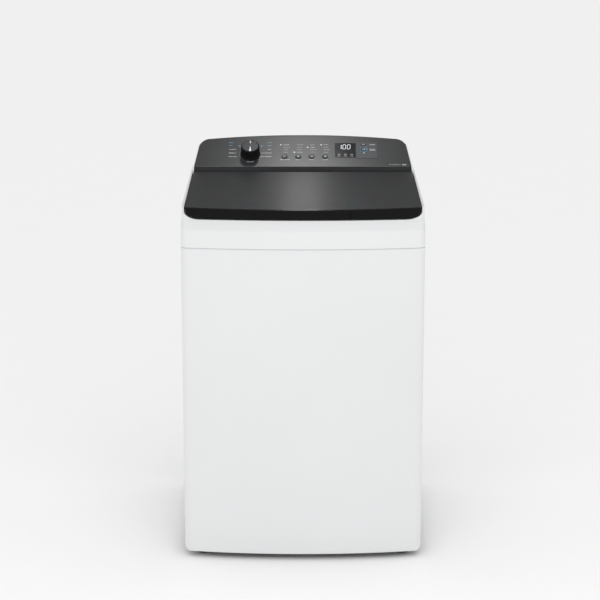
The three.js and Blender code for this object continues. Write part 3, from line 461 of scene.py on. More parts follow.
def outline_path(half, front, corner, rear, return_width):
    """The open plan path of the wrap: from one rear return round the front to the other."""
    closed = bowed(half, front, corner, rear)
    front_points, rear_points = 10, 5
    split = front_points + rear_points
    path = closed[split:] + closed[:split]
    return [(-half + return_width, rear)] + path + [(half - return_width, rear)]


def cabinet_skin():
    """Wrap with rolled edges and round bottom corners, with its four hanger brackets."""
    path = outline_path(HALF_WIDTH, FRONT, CORNER, REAR, 0.030)
    levels = [0.0, 0.0006, 0.002, 0.006, 0.05, 0.15, 0.3, 0.45, 0.6, 0.7, 0.76, 0.778]
    insets = [0.0016, 0.0005, 0.0001] + [0] * (len(levels) - 3)
    height = SEAM - BOTTOM
    verts = []
    for step, rise in enumerate(levels + [height - 0.0016, height - 0.0006, height]):
        inset = (insets + [0, 0.0007, 0.0024])[step]
        ring_path = outline_path(HALF_WIDTH - inset, FRONT + inset, CORNER, REAR, 0.030)
        for (x, _), (u, v) in zip(path, ring_path):
            over = max(abs(x) - (HALF_WIDTH - BOTTOM_CORNER), 0)
            lift = BOTTOM_CORNER - math.sqrt(max(BOTTOM_CORNER ** 2 - over ** 2, 0))
            z = BOTTOM + max(rise, min(lift + rise * 0.3, height))
            verts.append((u, v, z))
    count = len(path)
    faces = []
    for level in range(len(levels) + 2):
        for i in range(count - 1):
            a = level * count + i
            faces.append((a, a + 1, a + 1 + count, a + count))
    skin = make_object("cabinet_skin", verts, faces, ENAMEL)
    solidify = skin.modifiers.new("sheet", "SOLIDIFY")
    solidify.thickness = SHEET
    solidify.offset = -1 if skin_faces_out(skin) else 1
    bpy.context.view_layer.update()
    freeze(skin)
    smooth(skin, 40)
    parts = [skin]
    for place in CORNERS:
        x, y = axis_of(f"suspension_rod_{place}")
        side = math.copysign(1, x)
        xs = sorted((side * 0.214, side * (HALF_WIDTH - SHEET - 0.0003)))
        plate = block("bracket", (xs[0], y - 0.026, 0.750), (xs[1], y + 0.026, 0.754), ENAMEL)
        hole = turned("hole", [(0, 0.74), (0.008, 0.74), (0.008, 0.76), (0, 0.76)], 24,
                      None, (x, y))
        cut(plate, hole)
        parts.append(smooth(plate))
    return join("cabinet_skin_wrap", parts)


def skin_faces_out(obj):
    """True if the faces of an open skin look away from the machine's middle."""
    score = 0
    for face in obj.data.polygons:
        score += face.normal.x * face.center.x + face.normal.y * face.center.y
    return score > 0


# ---------------------------------------------------------------- deck


def section(z, half, front, corner, inset, rear=REAR):
    """One level of the deck's outer form."""
    return bowed(half - inset, front + inset, corner, rear - inset), z


def deck_form(name, inset, bottom):
    """The outer form of the deck, moved in by an inset, without its top cuts."""
    ridge = []
    for step in range(7):
        turn = math.radians(48) * step / 6
        radius = 0.006
        out = radius * (1 - math.cos(turn))
        up = radius * math.sin(turn)
        ridge.append((RIDGE - 0.0027 + up, HALF_WIDTH - 0.0006, FRONT + out, 0.019))
    rows = [
        (bottom, HALF_WIDTH - 0.0016, FRONT + 0.0016, CORNER),
        (bottom + 0.0014, HALF_WIDTH, FRONT, CORNER),
        (bottom + 0.02, HALF_WIDTH - 0.0003, FRONT, CORNER),
        *ridge,
        (APRON_TOP - 0.012, HALF_WIDTH - 0.001, APRON_FRONT - 0.0108, 0.017),
        (APRON_TOP, HALF_WIDTH - 0.0014, APRON_FRONT, 0.016),
        (RAIL_FRONT, HALF_WIDTH - 0.002, APRON_FRONT + 0.0006, 0.014),
        (RAIL_FRONT + 0.04, HALF_WIDTH - 0.0042, APRON_FRONT + 0.0008, 0.013),
        (CONSOLE_SIDE, CONSOLE_HALF, APRON_FRONT + 0.001, 0.012),
        (1.016, CONSOLE_HALF - 0.0002, APRON_FRONT + 0.001, 0.012),
    ]
    return loft(name, [section(*row, inset) for row in rows], WHITE_PLASTIC)


def lid_top(y):
    """Height of the closed lid's top at a depth."""
    return LID_FRONT_TOP + (y - LID_FRONT) * LID_SLOPE


def floor_top(y):
    """Height of the deck under the closed lid at a depth."""
    return lid_top(y) - LID_THICKNESS - 0.002


def deck_core(name, inset):
    """The apron carried on upwards behind the lip."""
    slope = (APRON_FRONT - FRONT) / (APRON_TOP - RIDGE)
    back = 0.007

    def row(z, front):
        return bowed(HALF_WIDTH - 0.003 - inset, front + inset, 0.015, 0.112), z

    return loft(name, [
        row(SEAM + 0.008, FRONT + 0.002),
        row(RIDGE, FRONT + 0.002),
        row(APRON_TOP - 0.002, APRON_FRONT + back),
        row(APRON_TOP + 0.060, APRON_FRONT + back + 0.060 * slope),
    ], WHITE_PLASTIC)


def under_slope(name, height, y0, y1, bottom):
    """Everything below a sloping line between two depths."""
    outline = [(y0, bottom), (y1, bottom), (y1, height(y1)), (y0, height(y0))]
    return prism(name, outline, -WIDE, WIDE, "X", WHITE_PLASTIC)


CREST_FOOT = (FACE_FOOT.y + FACE_LENGTH * math.cos(FACE_TILT),
              FACE_FOOT.z + FACE_LENGTH * math.sin(FACE_TILT))


def console_path():
    """YZ outline of the console: channel, lower rim, face and rounded crest."""
    channel = arc(0.1205, 0.9245, 0.0108, 0.0112, math.radians(-130), math.radians(0), 8)
    rim = [(0.1322, 0.934), (0.1330, 0.9366), (0.1345, 0.9387)]
    crest = [CREST_FOOT, (CREST_FOOT[0] + 0.0025, CREST_FOOT[1] + 0.0014), (0.240, 1.0086),
             (0.2435, 1.0088), (0.247, 1.008), (0.253, 1.0062)]
    return [(0.113, 0.9147)] + channel[1:] + rim + crest


def offset_path(path, distance):
    """A YZ path moved to its right."""
    moved = []
    for i, (y, z) in enumerate(path):
        y0, z0 = path[max(i - 1, 0)]
        y1, z1 = path[min(i + 1, len(path) - 1)]
        length = math.hypot(y1 - y0, z1 - z0)
        moved.append((y + (z1 - z0) / length * distance, z - (y1 - y0) / length * distance))
    return moved


def leaning(half, z):
    """A console half width at a height, on sides that lean inwards."""
    return half * (1 - CONSOLE_TAPER * (z - CONSOLE_SIDE))


def crown_cutter(half, inset):
    """What lies outside the crowned top, its round corners and its leaning sides."""
    outline = bowed(half - inset, inset - CROWN_TOP, CROWN_CORNER, -0.880, CROWN_RADIUS)
    keep = prism("keep", [(x, -y) for x, y in outline], 0.060, 0.360, "Y")
    pivot = Matrix.Translation((0, CREST_Y, CROWN_TOP))
    keep.data.transform(pivot @ Matrix.Rotation(-CREST_FALL, 4, "X") @ pivot.inverted())
    for vertex in keep.data.vertices:
        vertex.co.x = leaning(vertex.co.x, vertex.co.z)
    outside = block("outside", (-WIDE, 0.090, CONSOLE_SIDE), (WIDE, 0.330, 1.100))
    return cut(outside, keep)


def between_sides(half):
    """Everything between two leaning sides of the console."""
    top = leaning(half, 1.1)
    outline = [(-half, 0.84), (half, 0.84), (half, CONSOLE_SIDE), (top, 1.1), (-top, 1.1),
               (-half, CONSOLE_SIDE)]
    return prism("sides", outline, 0.060, 0.360, "Y")


def lid_front_view(name, margin, y0, y1):
    """Front view of the lid with round lower corners, extruded through the lid."""
    half = LID_HALF + margin
    low = LIP_BOTTOM - margin
    rx, rz = LIP_CORNER
    outline = (
        arc(rx - half, low + rz, rx, rz, math.pi, 1.5 * math.pi, 16)
        + arc(half - rx, low + rz, rx, rz, 1.5 * math.pi, 2 * math.pi, 16)
        + [(half, 1.1), (-half, 1.1)]
    )
    return prism(name, outline, y0, y1, "Y")


def throat(name, margin, low, high):
    """The wash opening's ellipse as a solid."""
    outline = arc(0, -0.0775, 0.200 + margin, 0.1625 + margin, 0, 2 * math.pi, 72)[:-1]
    return prism(name, outline, low, high, "Z", WHITE_PLASTIC)


POCKET = dict(inner=0.140, outer=0.272, front=-0.262, rear=-0.172, bottom=0.834)


def pocket_box(side, margin, top, inner=POCKET["inner"]):
    """Box of one dispenser pocket."""
    xs = sorted((side * (inner - margin), side * (POCKET["outer"] + margin)))
    low = (xs[0], POCKET["front"] - margin, POCKET["bottom"] - margin)
    return block("pocket", low, (xs[1], POCKET["rear"] + margin, top), WHITE_PLASTIC)


def below_floor():
    """Everything under the seat of the closed lid."""
    return under_slope("floor", floor_top, -0.330, 0.112, 0.700)


def deck_moulding():
    """The whole white top: bands, apron, lid seat with its opening, rails and console."""
    path = console_path()
    face_end = len(path) - 6
    rails = [(-0.330, RAIL_FRONT), (-0.296, RAIL_FRONT), (0.112, 0.931), (0.1345, 0.9387)]
    rails += path[face_end:] + [(0.290, 0.997), (0.2955, 0.9945), (0.2995, 0.987)]
    deck = deck_form("deck_moulding", 0, DECK_BOTTOM)
    below = prism("rails", [(-0.330, 0.700), *rails, (0.2995, 0.700)], -WIDE, WIDE, "X")
    common(deck, below)
    cut(deck, lid_front_view("seat", 0.0018, -0.340, 0.1125))
    core = deck_core("core", 0)
    common(core, below_floor())
    unite(deck, core)
    cut(deck, crown_cutter(CONSOLE_HALF, 0))
    hollow = deck_core("hollow", DECK_WALL)
    common(hollow, under_slope("under", lambda y: floor_top(y) - DECK_WALL, -0.34, 0.113, 0.7))
    low_form = deck_form("low", DECK_WALL, SEAM - 0.008)
    common(low_form, block("low_part", (-WIDE, -0.34, 0.7), (WIDE, 0.112, RIDGE - 0.002)))
    cut(deck, hollow)
    cut(deck, low_form)
    inside = offset_path(path, FASCIA_THICKNESS + 0.0033)
    under_console = [(0.109, 0.7), (0.109, 0.904), *inside[2:], (0.287, 0.990), (0.294, 0.984),
                     (0.294, 0.7)]
    rear_form = deck_form("rear", DECK_WALL, SEAM - 0.008)
    common(rear_form, prism("under_console", under_console, -WIDE, WIDE, "X"))
    cut(rear_form, crown_cutter(CONSOLE_HALF, DECK_WALL))
    cut(deck, rear_form)
    skirt = throat("skirt", 0.003, 0.862, 0.925)
    common(skirt, below_floor())
    cut(skirt, block("front_part", (-0.2, -0.3, 0.8), (0.2, POCKET["rear"] + 0.004, 0.874)))
    unite(deck, skirt)
    for side in (-1, 1):
        shell = pocket_box(side, 0.0025, 0.9)
        common(shell, below_floor())
        unite(deck, shell)
    cut(deck, throat("opening", 0, 0.780, 0.950))
    for side in (-1, 1):
        cut(deck, pocket_box(side, 0, 0.95))
        cut(deck, pocket_box(side, 0, 0.8734, 0.080))
    seat = offset_path(path, FASCIA_THICKNESS + 0.0003)
    recess = [*seat, (0.275, 1.03), (0.1, 1.03), (0.1, 0.9095)]
    width = FASCIA_HALF + 0.0003
    seat_cut = prism("recess", recess, -width, width, "X")
    common(seat_cut, between_sides(width))
    cut(deck, seat_cut)
    for node in ("left", "right"):
        low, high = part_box(f"hinge_pin_{node}")
        middle = (low + high) / 2
        hole = turned("pin_hole", [(0, -0.004), (0.0034, -0.004), (0.0034, 0.02), (0, 0.02)], 20)
        side = -1 if node == "left" else 1
        turn = Matrix.Rotation(side * math.pi / 2, 4, "Y")
        hole.data.transform(Matrix.Translation((side * 0.2885, middle.y, middle.z)) @ turn)
        cut(deck, hole)
    valve_low, valve_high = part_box("inlet_valve")
    for x in (valve_low.x + 0.022, valve_high.x - 0.022):
        hole = turned("port_hole", [(0, 0.28), (0.0145, 0.28), (0.0145, 0.31), (0, 0.31)], 40)
        hole.data.transform(Matrix.Translation((x, 0, 0.880)) @ Matrix.Rotation(
            -math.pi / 2, 4, "X"))
        cut(deck, hole)
    return round_edges(deck, 0.0007, 2, 40)


# ---------------------------------------------------------------- lid

GAP = 0.0003


def lid_plan(side, front, rear=LID_REAR):
    """Plan of the lid, or of a band inside it, moved in from the lid's edges."""
    return bowed(LID_HALF - side, LID_FRONT + front, 0.012, rear)


def lid_slab(name, outline, upper, lower, material=None):
    """A slab of the lid between two depths below its sloping top."""
    count = len(outline)
    verts = [(x, y, lid_top(y) - lower) for x, y in outline]
    verts += [(x, y, lid_top(y) - upper) for x, y in outline]
    return make_object(name, verts, walls_and_caps(count), material)


def lid_panel():
    """Smoked glass over the lid, with the faint marks over the drawers and the opening."""
    film_top, film_foot = -0.00004, 0.0008
    glass = lid_slab("glass", lid_plan(0, 0.0093), 0, GLASS_THICKNESS, LID_GLASS)
    common(glass, lid_front_view("view", 0, -0.33, 0.13))
    parts = [freeze(round_edges(glass, 0.0011, 3, 40))]
    for side in (-1, 1):
        xs = sorted((side * 0.106, side * 0.141))
        outline = rounded(xs[0], xs[1], -0.247, -0.176, 0.004)
        parts.append(lid_slab("window", outline, film_top, film_foot, TEAL_MARK))
    edge = rounded(-0.1, 0.1, -0.2475, -0.2465, 0.0004)
    parts.append(lid_slab("edge", edge, film_top, film_foot, WINDOW_EDGE))
    return join("lid_glass_panel", parts)


def lid_lip():
    """Front lip of the lid: an upright skirt with round lower corners and its ledge."""
    lip = lid_slab("lid_lip", lid_plan(0, 0), 0, 0.060, BLACK_GLOSS)
    cut(lip, prism("behind", lid_plan(-0.020, LIP_WALL), 0.7, 1.0))
    ledge = lid_slab("ledge", lid_plan(LIP_WALL + GAP, 0), 0, GLASS_THICKNESS, BLACK_GLOSS)
    cut(ledge, prism("back", lid_plan(-0.020, 0.009), 0.7, 1.0))
    unite(lip, ledge)
    common(lip, lid_front_view("view", 0, -0.33, 0.13))
    front = block("front_only", (-WIDE, -0.33, 0.7), (WIDE, -0.255, 1.0))
    common(lip, front)
    return round_edges(lip, 0.0015, 4, 40)


def rounded(x0, x1, y0, y1, radius, steps=6):
    """Rectangle with round corners."""
    quarter = math.pi / 2
    return (
        arc(x1 - radius, y0 + radius, radius, radius, -quarter, 0, steps)
        + arc(x1 - radius, y1 - radius, radius, radius, 0, quarter, steps)
        + arc(x0 + radius, y1 - radius, radius, radius, quarter, math.pi, steps)
        + arc(x0 + radius, y0 + radius, radius, radius, math.pi, 3 * quarter, steps)
    )


# ---------------------------------------------------------------- console

DISPLAY_LOW = Vector((0.0866, 0.0366, 0))
DISPLAY_HIGH = Vector((0.1423, 0.0957, 0))
PANEL_LOW = Vector((0.1435, 0.034, 0))
PANEL_HIGH = Vector((0.2015, 0.0986, 0))
BUTTONS = [(x, OPTION_V, OPTION_RADIUS) for x in OPTION_XS] + [POWER, START]


def cylinder(name, radius, low, high, material=None, steps=40):
    """A disc or rod about Z."""
    return turned(name, [(0, low), (radius, low), (radius, high), (0, high)], steps, material)


def plate(name, x0, x1, v0, v1, w0, w1, radius, material=None):
    """A flat piece with round corners, in face coordinates."""
    return prism(name, rounded(x0, x1, v0, v1, radius), w0, w1, "Z", material)


def console_panel():
    """Dark bent panel from the channel behind the lid to the crest."""
    path = console_path()
    under = list(reversed(offset_path(path, FASCIA_THICKNESS)))
    panel = prism("console_panel", path + under, -FASCIA_HALF, FASCIA_HALF, "X", FASCIA)
    cut(panel, crown_cutter(FASCIA_HALF, 0))
    knob_hole = on_face(cylinder("hole", 0.005, -0.008, 0.004), KNOB_X, KNOB_V)
    cut(panel, knob_hole)
    for x, v, radius in BUTTONS:
        hole = on_face(cylinder("hole", radius + 0.0005, -0.008, 0.004), x, v)
        cut(panel, hole)
    window = plate("window", DISPLAY_LOW.x, DISPLAY_HIGH.x, DISPLAY_LOW.y, DISPLAY_HIGH.y,
                   -0.008, 0.004, 0.0012)
    cut(panel, on_face(window))
    recess = plate("recess", PANEL_LOW.x, PANEL_HIGH.x, PANEL_LOW.y, PANEL_HIGH.y,
                   -0.0016, 0.004, 0.0012)
    cut(panel, on_face(recess))
    return round_edges(panel, 0.0004, 2, 40)


def words(x0, x1, v, height, material, rise=0.0):
    """A line of printed dashes that stands for a label, between two places along x."""
    marks = []
    x = x0
    while x < x1 - 0.0006:
        width = min(random.choice((0.0011, 0.0015, 0.0019)), x1 - x)
        marks.append(on_face(block("mark", (x, v - height / 2, rise), (
            x + width, v + height / 2, rise + INK), material)))
        x += width + random.choice((0.0004, 0.0004, 0.0013))
    return marks


def dot(x, v, radius, material, rise=0.0, height=0.00025):
    """A small round lamp or printed dot on the face."""
    return on_face(cylinder("dot", radius, rise, rise + height, material, 20), x, v)


def face_prints():
    """White, blue and grey labels, the lamps beside the option columns and a lighter strip along
    the lower rim, which is a painted highlight.
    """
    parts = []
    rows = (0.0981, 0.0857, 0.0703, 0.0559, 0.0415)
    left = (0.011, 0.010, 0.018, 0.019, 0.022)
    right = (0.011, 0.011, 0.010, 0.028, 0.031)
    for row, v in enumerate(rows):
        tone = BLUE_PRINT if row < 2 else PRINT
        parts += words(-0.199, -0.199 + left[row], v, LETTER, tone)
        parts += words(-0.084 - right[row], -0.084, v, LETTER, tone)
    parts += words(-0.1495, -0.132, 0.0208, LETTER, PRINT)
    for side in (-1, 1):
        xs = sorted((side * 0.0275, side * 0.0335))
        bar = block("bar", (xs[0], 0.0335, 0), (xs[1], 0.0353, INK), BLUE_PRINT)
        parts.append(on_face(bar, KNOB_X, KNOB_V))
        tick = block("tick", (-0.0009, -0.0021, 0), (0.0009, 0.0021, INK), BLUE_PRINT)
        tick.data.transform(Matrix.Rotation(side * math.radians(-30), 4, "Z"))
        parts.append(on_face(tick, KNOB_X + side * 0.0285, KNOB_V + 0.029))
        for angle in (8, -10, -28, -46):
            tick = block("tick", (0.0292, -0.0003, 0), (0.0315, 0.0003, INK), PRINT_DIM)
            turn = math.radians(angle if side > 0 else 180 - angle)
            tick.data.transform(Matrix.Rotation(turn, 4, "Z"))
            parts.append(on_face(tick, KNOB_X, KNOB_V))
    lit = (0, 3, 1, 0)
    for column, x in enumerate(OPTION_XS):
        for row, v in enumerate((0.089, 0.079, 0.0695, 0.059)):
            on = lit[column] == row
            parts.append(dot(x - 0.0105, v, 0.0017 if on else 0.0012,
                             LED_WHITE if on else PANEL_GREY))
            width = random.choice((0.0125, 0.0145, 0.0165))
            parts += words(x - 0.0035, x - 0.0035 + width, v, 0.0021, PRINT if on else PRINT_DIM)
        half = 0.0125 if column == 0 else 0.0063
        parts += words(x - half, x + half, 0.029, LETTER, PRINT)
    parts += words(0.231, 0.262, 0.0092, 0.0018, PRINT_DIM)
    badge = prism("badge", rounded(0.265, 0.277, 0.0071, 0.0113, 0.0021), 0, INK, "Z",
                  PRINT_DIM)
    parts.append(on_face(badge))
    # Thin lighter strip along the console's lower rim: a painted highlight standing in for light
    # caught by the rounded rim.
    parts.append(plate("rim", 0.004 - FASCIA_HALF, FASCIA_HALF - 0.004, 0.0012, 0.0036, 0,
                       INK, 0.0011, RIM_PAINTED_HIGHLIGHT))
    on_face(parts[-1])
    return join("console_prints", parts)


def start_panel():
    """Lighter plate round the power and start keys with its labels and lamp."""
    body = plate("plate", PANEL_LOW.x + GAP, PANEL_HIGH.x - GAP, PANEL_LOW.y + GAP,
                 PANEL_HIGH.y - GAP, -0.0013, 0.0006, 0.001, PANEL_GREY)
    for x, v, radius in (POWER, START):
        hole = cylinder("hole", radius + 0.0005, -0.003, 0.003)
        hole.data.transform(Matrix.Translation((x, v, 0)))
        cut(body, hole)
    parts = [on_face(freeze(round_edges(body, 0.0003, 2, 40)))]
    parts.append(dot(START[0], 0.0555, 0.0012, LED_WHITE, 0.0006))
    parts += words(0.1805, 0.1965, 0.0886, LETTER, PRINT, 0.0006)
    parts += words(0.1805, 0.1935, 0.0708, LETTER, PRINT, 0.0006)
    parts += words(0.1805, 0.1965, 0.0666, LETTER, PRINT, 0.0006)
    return join("start_panel_plate", parts)


SEGMENTS = {
    "top": ((0.12, 1.0), (0.88, 1.0)),
    "middle": ((0.12, 0.5), (0.88, 0.5)),
    "bottom": ((0.12, 0.0), (0.88, 0.0)),
    "upper_left": ((0.0, 0.56), (0.0, 0.94)),
    "upper_right": ((1.0, 0.56), (1.0, 0.94)),
    "lower_left": ((0.0, 0.06), (0.0, 0.44)),
    "lower_right": ((1.0, 0.06), (1.0, 0.44)),
}
LIT = {
    "0": ("top", "bottom", "upper_left", "upper_right", "lower_left", "lower_right"),
    "1": ("upper_right", "lower_right"),
}


def digit(figure, x, v, width, height, stroke, rise):
    """A seven-segment figure on the face, leaning a little to the right."""
    bars = []
    for name in LIT[figure]:
        (x0, v0), (x1, v1) = SEGMENTS[name]
        lean = 0.08 * height
        a = (x + x0 * width + v0 * lean, v + v0 * height)
        b = (x + x1 * width + v1 * lean, v + v1 * height)
        across = (0, stroke / 2) if v0 == v1 else (stroke / 2, 0)
        outline = [(a[0] - across[0], a[1] - across[1]), (b[0] - across[0], b[1] - across[1]),
                   (b[0] + across[0], b[1] + across[1]), (a[0] + across[0], a[1] + across[1])]
        if v0 != v1:
            outline = [outline[0], outline[3], outline[2], outline[1]]
        bars.append(on_face(prism("bar", outline, rise, rise + INK, "Z", LED_WHITE)))
    return bars


def ring_mark(x, v, outer, inner, rise, material):
    """A thin printed ring on the face."""
    mark = turned("ring", [(inner, rise), (outer, rise), (outer, rise + INK),
                           (inner, rise + INK)], 28, material)
    return on_face(mark, x, v)


def display_glass():
    """Black window with the time left and three small state marks."""
    top = -0.0002
    glass = plate("glass", DISPLAY_LOW.x + GAP, DISPLAY_HIGH.x - GAP, DISPLAY_LOW.y + GAP,
                  DISPLAY_HIGH.y - GAP, -FASCIA_THICKNESS + 0.0002, top, 0.001, DISPLAY)
    parts = [on_face(freeze(round_edges(glass, 0.0002, 2, 40)))]
    for figure, x in (("1", 0.0955), ("0", 0.1075), ("0", 0.1195)):
        parts += digit(figure, x, 0.072, 0.0074, 0.0178, 0.0015, top)
    for v in (0.0765, 0.0835):
        parts.append(dot(0.1056, v, 0.0008, LED_WHITE, top, INK))
    for x in (0.0975, 0.1145, 0.1315):
        parts.append(ring_mark(x, 0.0495, 0.0031, 0.0024, top, PRINT))
        parts += words(x - 0.005, x + 0.005, 0.0425, 0.0013, PRINT_DIM, top)
    parts.append(dot(0.0975, 0.0495, 0.001, PRINT, top, INK))
    bar = block("bar", (0.113, 0.0489, top), (0.116, 0.0501, top + INK), PRINT)
    parts.append(on_face(bar))
    return join("display_glass", parts)


def selector():
    """Selector knob: skirt, glossy side, grey face and two bright pointer marks."""
    radius, height = KNOB_RADIUS, KNOB_HEIGHT
    side = turned("side", [
        (0, -0.024), (0.0035, -0.024), (0.0035, 0.0008), (radius + 0.002, 0.0008),
        (radius + 0.0022, 0.0022), (radius + 0.0017, 0.0038), (radius + 0.0004, 0.005),
        (radius, 0.0065), (radius - 0.0004, height - 0.0022), (radius - 0.0009, height - 0.0009),
        (radius - 0.002, height), (radius - 0.003, height - 0.0002),
        (radius - 0.0032, height - 0.0006), (0, height - 0.0006),
    ], 96, KNOB_SIDE)
    face = cylinder("face", radius - 0.0034, height - 0.0009, height - 0.0003, KNOB_FACE, 96)
    parts = [smooth(side), smooth(face)]
    pointers = ((0.0005, 0.0013, 0.0095, 0.0205), (0.0026, 0.0006, -0.0205, -0.003))
    for narrow, wide, v0, v1 in pointers:
        outline = [(-narrow, v0), (narrow, v0), (wide, v1), (-wide, v1)]
        parts.append(prism("pointer", outline, height - 0.0005, height + 0.0001, "Z", SILVER))
    for step in range(60):
        rib = block("rib", (radius - 0.0012, -0.00025, 0.0075), (radius + 0.00015, 0.00025,
                                                                 height - 0.004), KNOB_SIDE)
        rib.data.transform(Matrix.Rotation(2 * math.pi * step / 60, 4, "Z"))
        parts.append(rib)
    return on_face(join("selector_dial", parts), KNOB_X, KNOB_V)


def key(name, place, icon, ring_material, cap_material):
    """Push key: stem, ring, dished cap and its mark."""
    x, v, radius = place
    top = 0.0022
    ring_part = turned("ring", [
        (0, -0.015), (0.0025, -0.015), (0.0025, -0.005), (0.0034, -0.0028), (radius, -0.0028),
        (radius, top - 0.0006), (radius - 0.0003, top - 0.0001), (radius - 0.0008, top),
        (radius - 0.0013, top - 0.0002), (radius - 0.0015, top - 0.0012), (0, top - 0.0012),
    ], 56, ring_material)
    cap = turned("cap", [
        (0, top - 0.0014), (radius - 0.0016, top - 0.0014), (radius - 0.0016, top - 0.0004),
        (radius * 0.6, top - 0.0006), (0, top - 0.00065),
    ], 56, cap_material)
    parts = [smooth(ring_part), smooth(cap)] + icon(top - 0.0006, radius)
    return on_face(join(name, parts), x, v)


def dash_icon(rise, radius):
    """A level mark."""
    half = radius * 0.32
    return [block("dash", (-half, -0.0005, rise), (half, 0.0005, rise + MARK), PRINT)]


def dot_icon(rise, radius):
    """A round mark."""
    return [cylinder("dot", radius * 0.28, rise, rise + MARK, PRINT, 20)]


def hoop_icon(rise, radius):
    """A small open ring."""
    outer, inner = radius * 0.32, radius * 0.2
    profile = [(inner, rise), (outer, rise), (outer, rise + MARK), (inner, rise + MARK)]
    return [turned("hoop", profile, 24, PRINT)]


def wave_icon(rise, radius):
    """Two short level marks, one over the other."""
    half = radius * 0.3
    return [block("wave", (-half, v - 0.0004, rise), (half, v + 0.0004, rise + MARK), PRINT)
            for v in (-0.0013, 0.0013)]


def power_icon(rise, radius):
    """An open ring with a stroke in its gap."""
    outer, inner = radius * 0.44, radius * 0.33
    gap, steps = math.radians(38), 18
    start, stop = math.pi / 2 + gap, math.pi / 2 + 2 * math.pi - gap
    outline = arc(0, 0, outer, outer, start, stop, steps)
    outline += arc(0, 0, inner, inner, stop, start, steps)
    stroke = block("stroke", (-0.00035, 0.0004, rise), (0.00035, outer + 0.0006, rise + MARK),
                   PRINT)
    return [prism("hoop", outline, rise, rise + MARK, "Z", PRINT), stroke]


def start_icon(rise, radius):
    """A triangle beside two upright strokes."""
    size = radius * 0.22
    arrow = [(-0.0034, -size), (-0.0034 + 1.5 * size, 0), (-0.0034, size)]
    parts = [prism("arrow", arrow, rise, rise + MARK, "Z", PRINT)]
    for x in (0.0014, 0.0031):
        parts.append(block("bar", (x - 0.0005, -size, rise), (x + 0.0005, size, rise + MARK),
                           PRINT))
    return parts


# ---------------------------------------------------------------- tub and basket

TUB_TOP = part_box("outer_tub")[1].z
BASKET_LOW, BASKET_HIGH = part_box("wash_basket")
BASKET_RADIUS = (BASKET_HIGH.x - BASKET_LOW.x) / 2
BASKET_BOTTOM, BASKET_TOP = BASKET_LOW.z, BASKET_HIGH.z
AXIS = (0, TUB_Y)
VANE_FOOT = 0.2235


def pierced_wall(name, radius, thickness, low, high, columns, rows, hole):
    """A round wall whose every second cell has a round hole through it."""
    verts, faces = [], []

    def point(angle, z, depth):
        r = radius - depth
        return (r * math.cos(angle), TUB_Y + r * math.sin(angle), z)

    turn, rise = 2 * math.pi / columns, (high - low) / rows
    around = [(1, 0), (1, 1), (0, 1), (-1, 1), (-1, 0), (-1, -1), (0, -1), (1, -1)]
    for i in range(columns):
        for j in range(rows):
            angle, z = (i + 0.5) * turn, low + (j + 0.5) * rise
            open_cell = (i + j) % 2 == 0 and 0 < j < rows - 1
            rims = []
            for depth in (0, thickness):
                base = len(verts)
                verts += [point(angle + u * turn / 2, z + v * rise / 2, depth) for u, v in around]
                if open_cell:
                    for k in range(8):
                        a = k * math.pi / 4
                        verts.append(point(angle + hole * math.cos(a) / radius,
                                           z + hole * math.sin(a), depth))
                    faces += [(base + k, base + (k + 1) % 8, base + 8 + (k + 1) % 8, base + 8 + k)
                              for k in range(8)]
                    rims.append(base + 8)
                else:
                    verts.append(point(angle, z, depth))
                    faces += [(base + k, base + (k + 1) % 8, base + (k + 2) % 8, base + 8)
                              for k in (1, 3, 5, 7)]
            if open_cell:
                faces += [(rims[0] + k, rims[0] + (k + 1) % 8, rims[1] + (k + 1) % 8, rims[1] + k)
                          for k in range(8)]
    for z in (low, high):
        for i in range(2 * columns):
            a, b = i * turn / 2, (i + 1) * turn / 2
            base = len(verts)
            verts += [point(a, z, 0), point(b, z, 0), point(b, z, thickness),
                      point(a, z, thickness)]
            faces.append((base, base + 1, base + 2, base + 3))
    return make_object(name, verts, faces, STEEL)


def basket_drum():
    """Perforated drum over its pressed floor, with a rolled upper edge."""
    shoulder = BASKET_BOTTOM + 0.026
    floor = turned("floor", [
        (0.060, BASKET_BOTTOM), (0.228, BASKET_BOTTOM), (0.238, BASKET_BOTTOM + 0.004),
        (BASKET_RADIUS - 0.0006, BASKET_BOTTOM + 0.012), (BASKET_RADIUS, BASKET_BOTTOM + 0.016),
        (BASKET_RADIUS, shoulder), (BASKET_RADIUS - 0.0018, shoulder),
        (BASKET_RADIUS - 0.0018, BASKET_BOTTOM + 0.0165), (BASKET_RADIUS - 0.003,
                                                           BASKET_BOTTOM + 0.013),
        (0.237, BASKET_BOTTOM + 0.006), (0.227, BASKET_BOTTOM + 0.002),
        (0.060, BASKET_BOTTOM + 0.002),
    ], 96, STEEL, AXIS)
    wall = pierced_wall("wall", BASKET_RADIUS, 0.0018, shoulder, BASKET_TOP, 96, 24, 0.0024)
    return join("basket_drum", [smooth(floor), smooth(wall)])


def ring_piece(name, profile, material, steps=96):
    """A smooth turned piece on the basket's axis."""
    return smooth(turned(name, profile, steps, material, AXIS), 28)


def balance_ring():
    """Liquid-filled ring on the basket's mouth, with a stepped top and a bead."""
    top = BASKET_TOP + GAP
    low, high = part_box("balance_ring")
    outer, inner = (high.x - low.x) / 2, (high.x - low.x) / 2 - 0.034
    return ring_piece("balance_ring_body", [
        (inner + 0.002, top), (outer - 0.002, top), (outer - 0.0005, top + 0.0015),
        (outer, top + 0.004), (outer, high.z - 0.004), (outer - 0.0012, high.z - 0.0012),
        (outer - 0.004, high.z), (outer - 0.010, high.z), (outer - 0.011, high.z - 0.0015),
        (outer - 0.013, high.z - 0.0015), (outer - 0.014, high.z), (inner + 0.008, high.z),
        (inner + 0.004, high.z - 0.0018), (inner + 0.0015, high.z - 0.005),
        (inner, high.z - 0.010), (inner, top + 0.006), (inner + 0.0006, top + 0.0015),
    ], GREY_PLASTIC)


